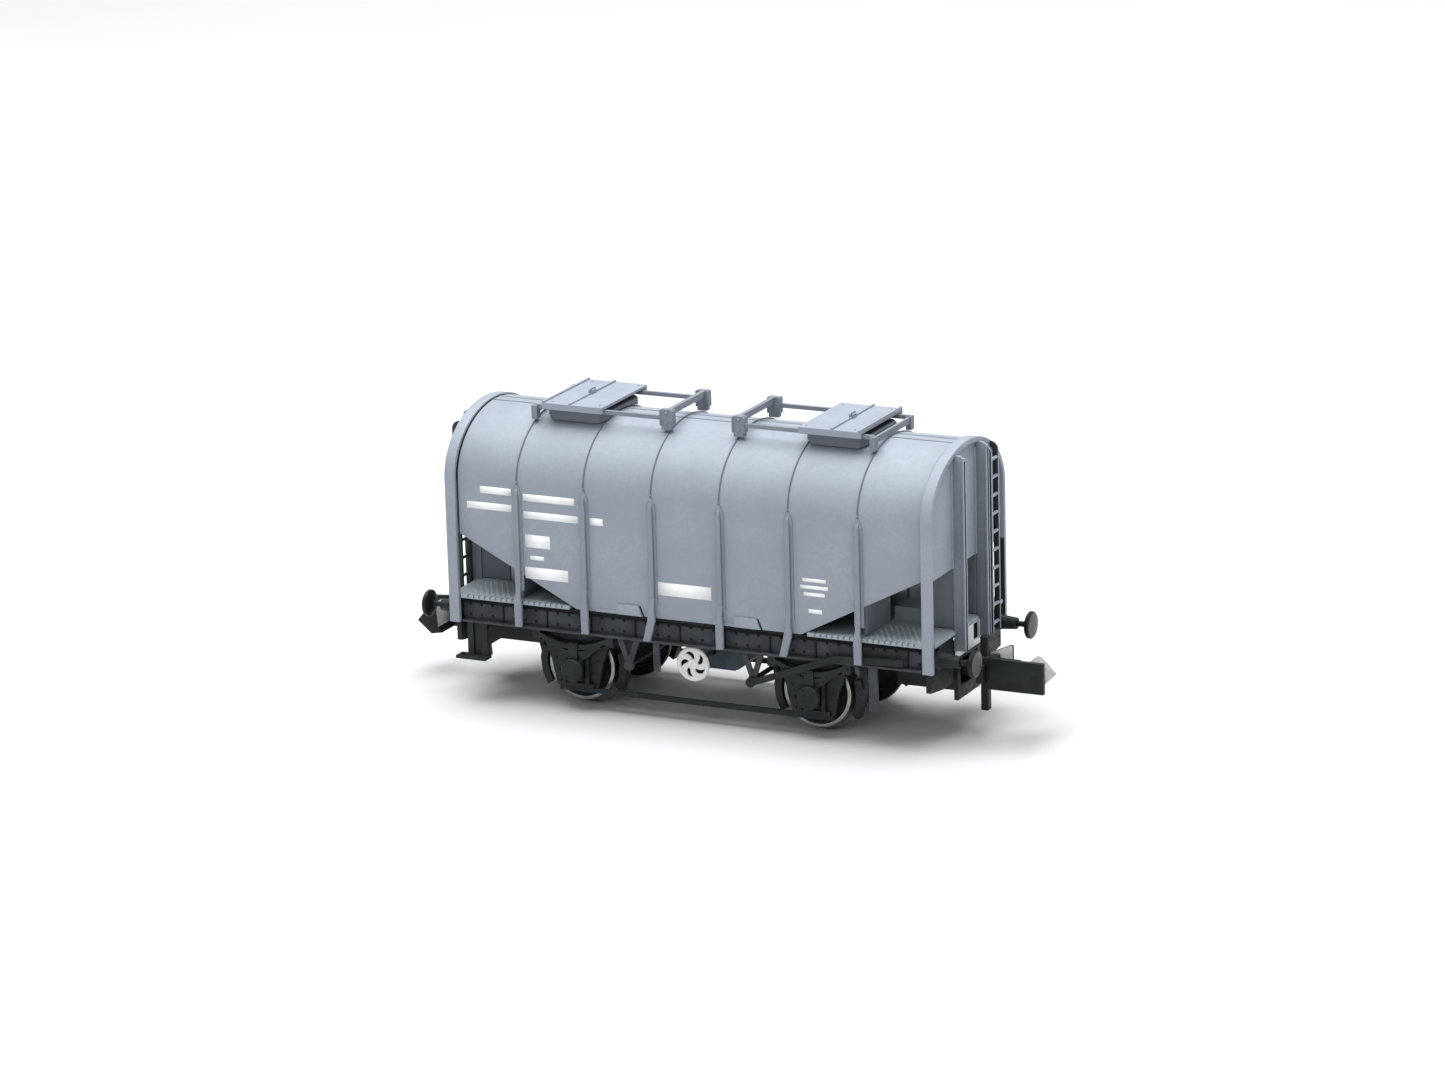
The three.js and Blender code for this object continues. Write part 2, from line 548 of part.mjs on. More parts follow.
function wheelCentre() {
  const rim = WHEEL_R - 0.32;
  return turnedY([
    [0.77, 0.1], [rim, 0.1], [rim, 1.85], [2.3, 1.55], [1.2, 1.55], [1.1, 1.95], [0.77, 1.95],
    [0.77, 0.1],
  ], 28).translate(0, WHEEL_BACK, 0);
}

// ---- assembly ----------------------------------------------------------------------------
const group = new THREE.Group();

function place(name, geometry, material, { at = [0, 0, 0], turn = 0, tilt = 0, about = [0, 0, 0] } = {}) {
  const mesh = new THREE.Mesh(geometry, material);
  mesh.name = name;
  mesh.position.set(...about.map((v) => -v));
  const tilted = new THREE.Group();
  tilted.position.set(...about);
  tilted.rotation.y = tilt;
  tilted.add(mesh);
  const turned = new THREE.Group();
  turned.position.set(...at);
  turned.rotation.z = turn;
  turned.add(tilted);
  group.add(turned);
}

place('body_shell', bodyShell(), bodyGrey);
place('floor', floorPlate(), trimGrey);
place('ballast_weight', box(-9.8, 9.8, -6.2, 6.2, 9.35, 11.9), steel);
place('discharge_chute', dischargeChute(), chassisBlack);

for (const [end, turn] of ends) {
  place(`end_frame_${end}`, endFrame(), bodyGrey, { turn });
  place(`hopper_end_${end}`, hopperEnd(), bodyGrey, { turn });
  place(`ladder_${end}`, ladder(), trimGrey, { turn });
  place(`hatch_frame_${end}`, hatchFrame(), trimGrey, { turn });
  place(`hatch_cover_${end}`, hatchCover(), bodyGrey, { turn });
  place(`hatch_coaming_${end}`, hatchCoaming(), trimGrey, { turn });
  place(`headstock_${end}`, headstock(), chassisBlack, { turn });
  place(`coupler_pocket_${end}`, couplerPocket(), chassisBlack, { turn });
  place(`brake_shaft_${end}`, brakeShaft(), chassisBlack, { turn });
  const pushedIn = PUSHED_IN[end];
  place(`coupler_spring_${end}`, couplerSpring(pushedIn), brass, { turn });
  place(`coupler_${end}`, coupler(), couplerBlack, {
    at: [pushedIn, 0, 0],
    turn,
    tilt: end === 'left' ? THREE.MathUtils.degToRad(COUPLER_DROOP) : 0,
    about: [PIVOT_X, 0, COUPLER_Z],
  });
}

for (const [side, turn] of sides) {
  place(`solebar_${side}`, solebar(), chassisBlack, { turn });
  place(`tie_bar_${side}`, tieBar(), chassisBlack, { turn });
  place(`brake_lever_${side}`, brakeLever(), chassisBlack, { turn });
  place(`end_step_${side}`, endStep(), chassisBlack, { turn });
  const reach = side === 'near' ? -1 : 1;
  place(`handwheel_${side}`, handwheel(), white, { at: [0, reach * HANDWHEEL.y, HANDWHEEL.z] });
}
place('handwheel_spindle', rod([0, -6.38, HANDWHEEL.z], [0, 6.38, HANDWHEEL.z], 0.2, 10), steel);

for (const [end, sign] of [['right', 1], ['left', -1]]) {
  const axleX = sign * WHEELBASE / 2;
  place(`axle_${end}`, axle(), steel, { at: [axleX, 0, AXLE_Z] });
  for (const [side, turn] of sides) {
    const name = `${end}_${side}`;
    const reach = side === 'near' ? -1 : 1;
    place(`tyre_${name}`, tyre().rotateZ(side === 'near' ? Math.PI : 0), nickel, { at: [axleX, 0, AXLE_Z] });
    place(`wheel_centre_${name}`, wheelCentre().rotateZ(side === 'near' ? Math.PI : 0), chassisBlack, {
      at: [axleX, 0, AXLE_Z],
    });
    place(`axleguard_${name}`, axleguard(), chassisBlack, { at: [axleX, 0, 0], turn });
    const inward = side === 'near' ? -sign : sign;
    place(`brake_shoe_${name}`, brakeShoe(inward), chassisBlack, { at: [axleX, 0, 0], turn });
    place(`buffer_head_${name}`, bufferHead(), nickel, {
      at: [0, reach * BUFFER_Y, BUFFER_Z], turn: sign > 0 ? 0 : Math.PI,
    });
  }
}

export default group;
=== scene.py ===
import math

import bmesh
import bpy
from mathutils import Matrix, Vector


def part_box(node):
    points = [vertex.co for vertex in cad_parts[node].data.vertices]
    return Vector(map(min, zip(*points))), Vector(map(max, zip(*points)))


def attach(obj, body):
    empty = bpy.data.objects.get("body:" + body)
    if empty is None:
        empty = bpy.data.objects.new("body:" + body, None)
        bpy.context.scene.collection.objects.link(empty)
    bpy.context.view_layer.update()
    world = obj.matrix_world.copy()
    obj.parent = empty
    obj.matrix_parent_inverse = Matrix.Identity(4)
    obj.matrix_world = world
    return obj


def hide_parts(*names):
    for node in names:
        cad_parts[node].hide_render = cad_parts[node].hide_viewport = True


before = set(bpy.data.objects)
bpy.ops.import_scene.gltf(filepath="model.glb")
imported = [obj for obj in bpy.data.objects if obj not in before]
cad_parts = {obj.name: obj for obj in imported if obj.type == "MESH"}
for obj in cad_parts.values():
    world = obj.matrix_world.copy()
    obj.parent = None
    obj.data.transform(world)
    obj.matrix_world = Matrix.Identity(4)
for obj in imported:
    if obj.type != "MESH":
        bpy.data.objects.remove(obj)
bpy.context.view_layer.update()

MM = 0.001

# ---- sizes, in millimetres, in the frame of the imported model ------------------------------
RAIL_TOP = 0.6


def box_mm(node):
    low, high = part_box(node)
    return [v / MM for v in low], [v / MM for v in high]


FLOOR_LOW, FLOOR_HIGH = box_mm("floor")
FRAME_LOW, FRAME_HIGH = box_mm("end_frame_right")
COVER_LOW, COVER_HIGH = box_mm("hatch_cover_right")
SOLEBAR_TOP = box_mm("solebar_near")[1][2]
TYRE_LOW, TYRE_HIGH = box_mm("tyre_right_far")
BUFFER_LOW, BUFFER_HIGH = box_mm("buffer_head_right_far")
HANDWHEEL_LOW, HANDWHEEL_HIGH = box_mm("handwheel_near")
LADDER_LOW, LADDER_HIGH = box_mm("ladder_right")

POST_Y = FRAME_HIGH[1]              # outer faces of the corner posts
SHEET_Y = POST_Y - 0.42             # outer face of the side sheets
END_X = 22.15                       # outer face of the corner posts' ends
SHELL_X = END_X - 0.95              # where the end frames begin
EAVES = 19.3
ROOF_RISE = 5.25
RIM_RISE = ROOF_RISE + 0.15
SHEET_BOTTOM = 9.05
FLOOR_TOP = FLOOR_LOW[2] + 0.3
SLOPE_X = 10.3                      # where the sloped edges leave the bottom edge
SLOPE = 0.509
RIB_PITCH = 6.22
RIBS = [(i - 2.5) * RIB_PITCH for i in range(6)]
RIB_HALF = 0.42
END_PLATE_Z = 14.5
T_POST_Y = 2.4
SILL_X = (21.8, 22.05)
SILL_HOLE_Y = (0.95, 2.2)
SILL_HOLE_Z = (7.4, 8.85)
AXLE_Z = (TYRE_LOW[2] + TYRE_HIGH[2]) / 2
WHEELBASE = TYRE_LOW[0] + TYRE_HIGH[0]
TREAD_R = AXLE_Z - RAIL_TOP
FLANGE_R = (TYRE_HIGH[2] - TYRE_LOW[2]) / 2
WHEEL_BACK = TYRE_LOW[1]
WHEEL_FACE = TYRE_HIGH[1]
BUFFER_Y = (BUFFER_LOW[1] + BUFFER_HIGH[1]) / 2
BUFFER_Z = (BUFFER_LOW[2] + BUFFER_HIGH[2]) / 2
WEB_Y = 6.85                        # outer face of the solebar's web
FLANGE_Y = 7.35                     # outer edges of the solebar's flanges
RIB_FOOT = 7.15
RIB_LEAN = 0.5
LEANING_RIBS = (2, 4)               # counted from the left end
PANEL_X = (-6.55, 4.25)
PIVOT_X = 19.2
COUPLER_Z = 5.5
NOSE_X = 29.3
COUPLER_DROOP = 4.7                 # degrees that the left coupler hangs below level
COUPLER_PUSHED_IN = 0.3             # how much shorter the left coupler stands out
RUNG_COUNT = 10
RUNG_PITCH = 1.55
LOWEST_RUNG = 8.3
BOLT_COUNT = 8                      # dimples round a wheel centre
BOLT_CIRCLE = 1.65
SPOKE_COUNT = 5
SPOKE_STEPS = 8
RIM_STEPS = 12
HANDWHEEL_Y = 6.6
BAR_PRINT = 0.02                    # thickness of the printed bars


# ---- camera ------------------------------------------------------------------------------
CAMERA_BEARING = 26.04              # degrees round from the near side toward the right end
CAMERA_HEIGHT = 15.76               # degrees above level
CAMERA_LEAN = -1.58
CAMERA_LENS = 141.21
CAMERA_PLACE = (199.431, -408.633, 142.269)


def make_camera():
    """A long lens, low three-quarter view from the near side toward the right end."""
    bearing = math.radians(CAMERA_BEARING)
    height = math.radians(CAMERA_HEIGHT)
    lean = math.radians(CAMERA_LEAN)
    back = Vector((math.cos(height) * math.sin(bearing),
                   -math.cos(height) * math.cos(bearing), math.sin(height)))
    level = Vector((math.cos(bearing), math.sin(bearing), 0))
    upward = back.cross(level)
    right = level * math.cos(lean) + upward * math.sin(lean)
    up = back.cross(right)
    camera = bpy.data.objects.new("camera", bpy.data.cameras.new("camera"))
    camera.data.sensor_width = 36
    camera.data.lens = CAMERA_LENS
    camera.data.clip_start = 0.05
    camera.data.clip_end = 20
    place = Matrix((right, up, back)).transposed().to_4x4()
    place.translation = Vector(CAMERA_PLACE) * MM
    camera.matrix_world = place
    bpy.context.scene.collection.objects.link(camera)
    bpy.context.scene.camera = camera


# ---- materials ---------------------------------------------------------------------------
class Shader:
    """A small wrapper that builds a node material around one Principled shader."""

    def __init__(self, name, **sockets):
        self.material = bpy.data.materials.new(name)
        self.material.use_nodes = True
        self.tree = self.material.node_tree
        self.bsdf = self.tree.nodes["Principled BSDF"]
        for socket, value in sockets.items():
            self.bsdf.inputs[socket.replace("_", " ")].default_value = value
        self.place = self.node("ShaderNodeTexCoord").outputs["Object"]
        self.height = None

    def node(self, kind, **settings):
        node = self.tree.nodes.new(kind)
        for key, value in settings.items():
            setattr(node, key, value)
        return node

    def link(self, source, target):
        self.tree.links.new(source, target)

    def noise(self, size_mm, detail=3.0, stretch=(1, 1, 1)):
        mapping = self.node("ShaderNodeMapping")
        mapping.inputs["Scale"].default_value = stretch
        self.link(self.place, mapping.inputs["Vector"])
        noise = self.node("ShaderNodeTexNoise")
        noise.inputs["Scale"].default_value = 1 / (size_mm * MM)
        noise.inputs["Detail"].default_value = detail
        self.link(mapping.outputs["Vector"], noise.inputs["Vector"])
        return noise.outputs["Fac"]

    def ramp(self, factor, stops):
        ramp = self.node("ShaderNodeValToRGB")
        elements = ramp.color_ramp.elements
        while len(elements) < len(stops):
            elements.new(0.5)
        for element, (at, colour) in zip(elements, stops):
            element.position = at
            element.color = (*colour, 1)
        self.link(factor, ramp.inputs["Fac"])
        return ramp.outputs["Color"]

    def remap(self, factor, low, high, start=0.3, end=0.7):
        remap = self.node("ShaderNodeMapRange")
        remap.inputs["From Min"].default_value = start
        remap.inputs["From Max"].default_value = end
        remap.inputs["To Min"].default_value = low
        remap.inputs["To Max"].default_value = high
        self.link(factor, remap.inputs["Value"])
        return remap.outputs["Result"]

    def math(self, operation, first, second):
        node = self.node("ShaderNodeMath", operation=operation)
        for socket, value in zip(node.inputs, (first, second)):
            if isinstance(value, (int, float)):
                socket.default_value = value
            else:
                self.link(value, socket)
        return node.outputs["Value"]

    def mix(self, factor, first, second):
        mix = self.node("ShaderNodeMix", data_type="RGBA")
        self.link(factor, mix.inputs["Factor"])
        for socket, value in ((mix.inputs["A"], first), (mix.inputs["B"], second)):
            if isinstance(value, tuple):
                socket.default_value = (*value, 1)
            else:
                self.link(value, socket)
        return mix.outputs["Result"]

    def colour(self, source):
        self.link(source, self.bsdf.inputs["Base Color"])

    def roughness(self, source):
        self.link(source, self.bsdf.inputs["Roughness"])

    def bump(self, source, depth_mm, strength=1.0):
        bump = self.node("ShaderNodeBump")
        bump.inputs["Distance"].default_value = depth_mm * MM
        bump.inputs["Strength"].default_value = strength
        self.link(source, bump.inputs["Height"])
        if self.height is not None:
            self.link(self.height, bump.inputs["Normal"])
        self.height = bump.outputs["Normal"]
        self.link(self.height, self.bsdf.inputs["Normal"])

    # Ambient occlusion, used to paint shade into crevices.
    def crevice_shade(self, reach_mm):
        occlusion = self.node("ShaderNodeAmbientOcclusion", samples=6)
        occlusion.inputs["Distance"].default_value = reach_mm * MM
        return occlusion.outputs["AO"]

    def facing_up(self):
        split = self.node("ShaderNodeSeparateXYZ")
        self.link(self.node("ShaderNodeNewGeometry").outputs["Normal"], split.inputs["Vector"])
        return split.outputs["Z"]


def tinted(colour, factor):
    return tuple(min(1.0, c * factor) for c in colour)


def paint(name, colour, roughness=0.52):
    """Sprayed satin paint on moulded plastic: faint mottle, fine spray grain, dust on top."""
    s = Shader(name, Roughness=roughness, Specular_IOR_Level=0.3)
    mottle = s.ramp(s.noise(4.0, 4), [(0.35, tinted(colour, 0.94)), (0.65, tinted(colour, 1.05))])
    streak = s.noise(1.2, 3, (1, 1, 0.18))
    washed = s.mix(s.remap(streak, 0.0, 0.22, 0.5, 0.75), mottle, tinted(colour, 0.86))
    grained = s.mix(s.remap(s.noise(0.3, 2), 0.0, 0.5, 0.35, 0.65), washed, tinted(colour, 0.9))
    dust = s.math("MULTIPLY", s.remap(s.facing_up(), 0, 1, 0.35, 1.0), s.remap(s.noise(0.8, 4), 0.0, 0.3))
    s.colour(s.mix(dust, grained, tinted(colour, 1.25)))
    s.roughness(s.remap(s.noise(0.5, 3), roughness - 0.06, roughness + 0.1))
    s.bump(s.noise(0.09, 2), 0.006, 0.5)
    s.bump(s.noise(1.5, 2), 0.01, 0.35)
    return s.material


def transfer(name, colour):
    """Thin printed white with a slightly uneven surface."""
    s = Shader(name, Roughness=0.5, Specular_IOR_Level=0.3)
    s.colour(s.ramp(s.noise(0.5, 3), [(0.3, tinted(colour, 0.95)), (0.65, colour)]))
    s.bump(s.noise(0.09, 2), 0.003, 0.4)
    return s.material


def moulding(name, colour, roughness=0.5, grain_mm=0.14):
    """Self-coloured moulded plastic with spark-eroded grain, lighter handled patches and painted shade in
    its crevices.
    """
    s = Shader(name, Roughness=roughness, Specular_IOR_Level=0.22)
    mottle = s.ramp(s.noise(1.6, 5), [(0.35, tinted(colour, 0.75)), (0.7, tinted(colour, 1.35))])
    dust = s.math("MULTIPLY", s.remap(s.facing_up(), 0, 1, 0.4, 1.0), s.remap(s.noise(0.45, 4), 0.0, 0.4))
    dusted = s.mix(dust, mottle, (0.085, 0.092, 0.095))
    # Painted shade: the colour falls to a quarter where ambient occlusion finds crevices and close
    # neighbours.
    s.colour(s.mix(s.remap(s.crevice_shade(0.5), 0, 1, 0.25, 0.8), tinted(colour, 0.25), dusted))
    s.roughness(s.remap(s.noise(0.6, 3), roughness - 0.1, roughness + 0.12))
    s.bump(s.noise(grain_mm, 3), 0.008, 0.6)
    return s.material


def turned_metal(name, colour, roughness=0.3, centre=(0, 0)):
    """Lathe-turned plating: fine rings about the axle and slight tarnish."""
    s = Shader(name, Metallic=1.0, Roughness=roughness)
    split = s.node("ShaderNodeSeparateXYZ")
    s.link(s.place, split.inputs["Vector"])
    across = s.math("POWER", s.math("SUBTRACT", split.outputs["X"], centre[0] * MM), 2)
    height = s.math("POWER", s.math("SUBTRACT", split.outputs["Z"], centre[1] * MM), 2)
    radius = s.math("SQRT", s.math("ADD", across, height), 0)
    rings = s.math("SINE", s.math("MULTIPLY", s.math("ADD", radius, split.outputs["Y"]), 70 / MM), 0)
    tarnish = s.ramp(s.noise(0.9, 5), [(0.3, tinted(colour, 0.72)), (0.62, colour)])
    s.colour(tarnish)
    s.roughness(s.remap(s.noise(0.5, 4), roughness - 0.05, roughness + 0.16))
    s.bump(rings, 0.0015, 0.5)
    return s.material


def bare_metal(name, colour, roughness=0.35):
    s = Shader(name, Metallic=1.0, Roughness=roughness)
    s.colour(s.ramp(s.noise(0.7, 5), [(0.3, tinted(colour, 0.7)), (0.65, colour)]))
    s.roughness(s.remap(s.noise(0.3, 3, (0.2, 1, 1)), roughness - 0.08, roughness + 0.15))
    s.bump(s.noise(0.08, 2, (0.1, 1, 1)), 0.003, 0.4)
    return s.material


def shaded_paint(name, colour, dark):
    """Body paint with painted shade, a dark mottled colour, on the faces that look down."""
    s = Shader(name, Roughness=0.6, Specular_IOR_Level=0.3)
    mottle = s.ramp(s.noise(3.0, 4), [(0.35, tinted(colour, 0.93)), (0.65, tinted(colour, 1.05))])
    underside_shade = s.ramp(s.noise(1.1, 5), [(0.3, tinted(dark, 0.6)), (0.7, tinted(dark, 1.3))])
    s.colour(s.mix(s.remap(s.facing_up(), 0, 1, -0.4, -0.15), underside_shade, mottle))
    s.bump(s.noise(0.12, 2), 0.006, 0.5)
    return s.material


BODY_BLUE_GREY = (0.295, 0.328, 0.382)
BODY = paint("body_paint", BODY_BLUE_GREY)
# Body colour darkened to 0.74; on the T-post webs it is painted shade.
DARKER_BODY = paint("darker_body_paint", tinted(BODY_BLUE_GREY, 0.74))
# Ribs: body colour darkened to 0.82 as painted shade.
RIB_SHADE = paint("rib_painted_shade", tinted(BODY_BLUE_GREY, 0.82))
DEEP_SHADE = paint("deep_shade_paint", tinted(BODY_BLUE_GREY, 0.1))
# Hatch coamings: body colour halved as painted shade.
COAMING_SHADE = paint("coaming_painted_shade", tinted(BODY_BLUE_GREY, 0.5))
# Hopper ends: body colour darkened to 0.52 as painted shade in the end openings, darker still on their
# undersides.
HOPPER = shaded_paint("hopper_paint", tinted(BODY_BLUE_GREY, 0.52), (0.03, 0.035, 0.04))
# Roof seams and floor notches: body colour halved as painted shade.
SEAM_SHADE = paint("seam_painted_shade", tinted(BODY_BLUE_GREY, 0.5))
SILL_PAINT = paint("sill_paint", (0.76, 0.78, 0.80))
FLOOR_PAINT = paint("floor_paint", (0.32, 0.365, 0.40))
# Floor studs: a lighter copy of the floor colour as painted highlight.
STUD_HIGHLIGHT = paint("stud_painted_highlight", (0.42, 0.46, 0.49))
CHASSIS = moulding("chassis_plastic", (0.0155, 0.0195, 0.021))
CHUTE = moulding("chute_plastic", (0.066, 0.090, 0.108))
SOLEBAR = moulding("solebar_plastic", (0.042, 0.047, 0.053), 0.45)
COUPLER = moulding("coupler_plastic", (0.010, 0.013, 0.0125), 0.45)
# Coupler nose and guard: light greys on the black coupler plastic as painted highlight.
NOSE_HIGHLIGHT = moulding("coupler_nose_painted_highlight", (0.36, 0.37, 0.37), 0.4)
GUARD_HIGHLIGHT = moulding("coupler_guard_painted_highlight", (0.92, 0.93, 0.93), 0.4)
# Buffer front faces: grey on the black plastic as painted highlight.
BUFFER_FACE_HIGHLIGHT = moulding("buffer_face_painted_highlight", (0.095, 0.098, 0.10), 0.4)
RECESS = moulding("recess_black", (0.004, 0.0045, 0.006), 0.85)
WHITE = paint("wheel_white", (0.72, 0.72, 0.715), 0.38)
MARKING = transfer("marking_white", (0.93, 0.94, 0.95))
STEEL = bare_metal("weight_steel", (0.50, 0.50, 0.49))
SPRING = bare_metal("spring_wire", (0.62, 0.58, 0.50), 0.28)


# ---- mesh helpers ------------------------------------------------------------------------
def finish_mesh(name, bm, material, body="wagon", bevel=0.0, angle=35):
    """Turns a bmesh in millimetres into a finished object that rides on a body."""
    bmesh.ops.remove_doubles(bm, verts=bm.verts, dist=1e-4)
    bmesh.ops.recalc_face_normals(bm, faces=bm.faces)
    bmesh.ops.scale(bm, vec=(MM, MM, MM), verts=bm.verts)
    mesh = bpy.data.meshes.new(name)
    bm.to_mesh(mesh)
    bm.free()
    obj = bpy.data.objects.new(name, mesh)
    bpy.context.scene.collection.objects.link(obj)
    obj.data.materials.append(material)
    soften(obj, bevel, angle)
    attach(obj, body)
    return obj


def second_material(obj, material, chosen):
    """Gives the polygons that a test picks another material."""
    obj.data.materials.append(material)
    for polygon in obj.data.polygons:
        if chosen(polygon):
            polygon.material_index = len(obj.data.materials) - 1


def soften(obj, bevel, angle=35):
    """Smooth shading with sharp edges kept, and a fine bevel that catches light."""
    if bevel:
        modifier = obj.modifiers.new("edge", "BEVEL")
        modifier.width = bevel * MM
        modifier.segments = 2
        modifier.limit_method = "ANGLE"
        modifier.angle_limit = math.radians(angle)
    for polygon in obj.data.polygons:
        polygon.use_smooth = True
    normals = obj.modifiers.new("smooth", "NODES")
    normals.node_group = smooth_by_angle(angle)


def smooth_by_angle(angle):
    """A geometry node group that marks edges above an angle as sharp for shading."""
    name = f"smooth_{angle}"
    group = bpy.data.node_groups.get(name)
    if group:
        return group
    group = bpy.data.node_groups.new(name, "GeometryNodeTree")
    group.interface.new_socket("Geometry", in_out="INPUT", socket_type="NodeSocketGeometry")
    group.interface.new_socket("Geometry", in_out="OUTPUT", socket_type="NodeSocketGeometry")
    nodes, links = group.nodes, group.links
    entry = nodes.new("NodeGroupInput")
    leave = nodes.new("NodeGroupOutput")
    edge = nodes.new("GeometryNodeInputMeshEdgeAngle")
    compare = nodes.new("FunctionNodeCompare")
    compare.operation = "LESS_EQUAL"
    compare.inputs["B"].default_value = math.radians(angle)
    shade = nodes.new("GeometryNodeSetShadeSmooth")
    shade.domain = "EDGE"
    links.new(entry.outputs[0], shade.inputs["Geometry"])
    links.new(edge.outputs["Unsigned Angle"], compare.inputs["A"])
    links.new(compare.outputs["Result"], shade.inputs["Shade Smooth"])
    links.new(shade.outputs[0], leave.inputs[0])
    return group


def add_prism(bm, outline, axis, start, end):
    """An outline swept along an axis; the outline's pairs are the two other axes in order."""
    others = [i for i in range(3) if i != axis]

    def corner(pair, along):
        point = [0, 0, 0]
        point[axis] = along
        point[others[0]], point[others[1]] = pair
        return bm.verts.new(point)

    first = [corner(pair, start) for pair in outline]
    last = [corner(pair, end) for pair in outline]
    bm.faces.new(first)
    bm.faces.new(last[::-1])
    count = len(outline)
    for i in range(count):
        j = (i + 1) % count
        bm.faces.new((first[i], last[i], last[j], first[j]))


def add_box(bm, x0, x1, y0, y1, z0, z1):
    add_prism(bm, [(x0, y0), (x1, y0), (x1, y1), (x0, y1)], 2, z0, z1)


def add_lathe(bm, profile, axis, centre, steps, start=0.0):
    """Pairs of (distance along the axis, radius) turned about an axis through a centre."""
    others = [i for i in range(3) if i != axis]
    rings = []
    for along, radius in profile:
        ring = []
        for k in range(steps if radius > 1e-6 else 1):
            angle = start + 2 * math.pi * k / steps
            point = list(centre)
            point[axis] += along
            point[others[0]] += radius * math.cos(angle)
            point[others[1]] += radius * math.sin(angle)
            ring.append(bm.verts.new(point))
        rings.append(ring)
    for a, b in zip(rings, rings[1:]):
        for k in range(steps):
            n = (k + 1) % steps
            corners = [a[k % len(a)], a[n % len(a)], b[n % len(b)], b[k % len(b)]]
            unique = list(dict.fromkeys(corners))
            if len(unique) > 2:
                bm.faces.new(unique)


def add_tube(bm, points, radius, sides=8):
    """A round bar through a list of points."""
    points = [Vector(p) for p in points]
    rings = []
    guide = Vector((0, 0, 1))
    for i, point in enumerate(points):
        ahead = points[min(i + 1, len(points) - 1)] - points[max(i - 1, 0)]
        ahead.normalize()
        side = ahead.cross(guide)
        if side.length < 0.05:
            side = ahead.cross(Vector((1, 0, 0)))
        side.normalize()
        up = side.cross(ahead)
        ring = []
        for k in range(sides):
            angle = 2 * math.pi * (k + 0.5) / sides
            spread = side * radius * math.cos(angle) + up * radius * math.sin(angle)
            ring.append(bm.verts.new(point + spread))
        rings.append(ring)
    for a, b in zip(rings, rings[1:]):
        for k in range(sides):
            n = (k + 1) % sides
            bm.faces.new((a[k], a[n], b[n], b[k]))
    bm.faces.new(rings[0][::-1])
    bm.faces.new(rings[-1])


def add_rivet(bm, x, y, z, axis, out, radius=0.09, height=0.05):
    """A low domed rivet head that stands out along an axis."""
    profile = [(0, radius), (height * 0.6 * out, radius * 0.85), (height * out, radius * 0.4),
               (height * out, 0)]
    add_lathe(bm, profile, axis, (x, y, z), 8)


def half_turn(bm):
    """Turns everything in a bmesh half round about the wagon's middle."""
    bmesh.ops.rotate(bm, verts=bm.verts, cent=(0, 0, 0), matrix=Matrix.Rotation(math.pi, 3, "Z"))


def arch(half_width, rise, steps, eaves=EAVES):
    return [(half_width * math.cos(a), eaves + rise * math.sin(a))
            for a in (math.pi * i / steps for i in range(steps + 1))]


# ---- body shell --------------------------------------------------------------------------
ARCH_STEPS = 72


def section(offset, low):
    """Half-open outline of the body from one bottom edge over the roof to the other."""
    curve = arch(SHEET_Y + offset, ROOF_RISE + offset, ARCH_STEPS)
    levels = [low, END_PLATE_Z + 0.1, EAVES - 2.5]
    near = [(-(SHEET_Y + offset), z) for z in levels]
    far = [(SHEET_Y + offset, z) for z in levels]
    return far + curve + near[::-1]


def edge_x(z):
    """How far out the side sheet reaches at a height, with its sloped lower edge."""
    return min(SHELL_X - 0.1, SLOPE_X + max(0.0, z - SHEET_BOTTOM) / SLOPE)


def body_shell():
    bm = bmesh.new()
    outer = section(0.0, SHEET_BOTTOM)
    inner = section(-0.35, SHEET_BOTTOM)
    columns = 12

    def sheet(outline):
        grid = []
        for y, z in outline:
            reach = edge_x(z)
            grid.append([bm.verts.new((reach * (2 * c / columns - 1), y, z)) for c in range(columns + 1)])
        for a, b in zip(grid, grid[1:]):
            for c in range(columns):
                bm.faces.new((a[c], a[c + 1], b[c + 1], b[c]))
        return grid

    outside = sheet(outer)
    inside = sheet(inner)
    for a, b, c, d in zip(outside, outside[1:], inside, inside[1:]):
        bm.faces.new((a[0], b[0], d[0], c[0]))
        bm.faces.new((a[-1], c[-1], d[-1], b[-1]))
    for row in (0, -1):
        for c in range(columns):
            bm.faces.new((outside[row][c], inside[row][c], inside[row][c + 1], outside[row][c + 1]))
    for side in (-1, 1):
        for x in PANEL_X:
            add_access_panel(bm, -side * x, side)
    shell = finish_mesh("shell_sheets", bm, BODY, bevel=0.05)
    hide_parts("body_shell")


def add_access_panel(bm, x, side):
    """A raised cover with one slanted edge, and a low strip beside it, on the bottom edge."""
    face = side * (SHEET_Y - 0.02)
    out = side * (SHEET_Y + 0.13)
    low = SHEET_BOTTOM + 0.01
    outline = [(0, low), (2.38, low), (2.02, low + 0.92), (0, low + 0.92)]
    placed = [(x - side * along, z) for along, z in outline]
    add_prism(bm, placed, 1, *sorted((face, out)))
    strip = sorted((x - side * 0.02, x + side * 1.95))
    add_box(bm, *strip, *sorted((face, side * (SHEET_Y + 0.07))), low, low + 0.28)


def panel_edges():
    """The dark slits along the access panels' slanted edges."""
    bm = bmesh.new()
    for side in (-1, 1):
        for x in PANEL_X:
            shift = [2.44, 2.56, 2.2, 2.08]
            levels = [SHEET_BOTTOM + 0.02, SHEET_BOTTOM + 0.02, SHEET_BOTTOM + 0.9, SHEET_BOTTOM + 0.9]
            outline = [(-side * (x + along), z) for along, z in zip(shift, levels)]
            add_prism(bm, outline, 1, *sorted((side * (SHEET_Y - 0.01), side * (SHEET_Y + 0.03))))
    finish_mesh("panel_slits", bm, RECESS, angle=60)


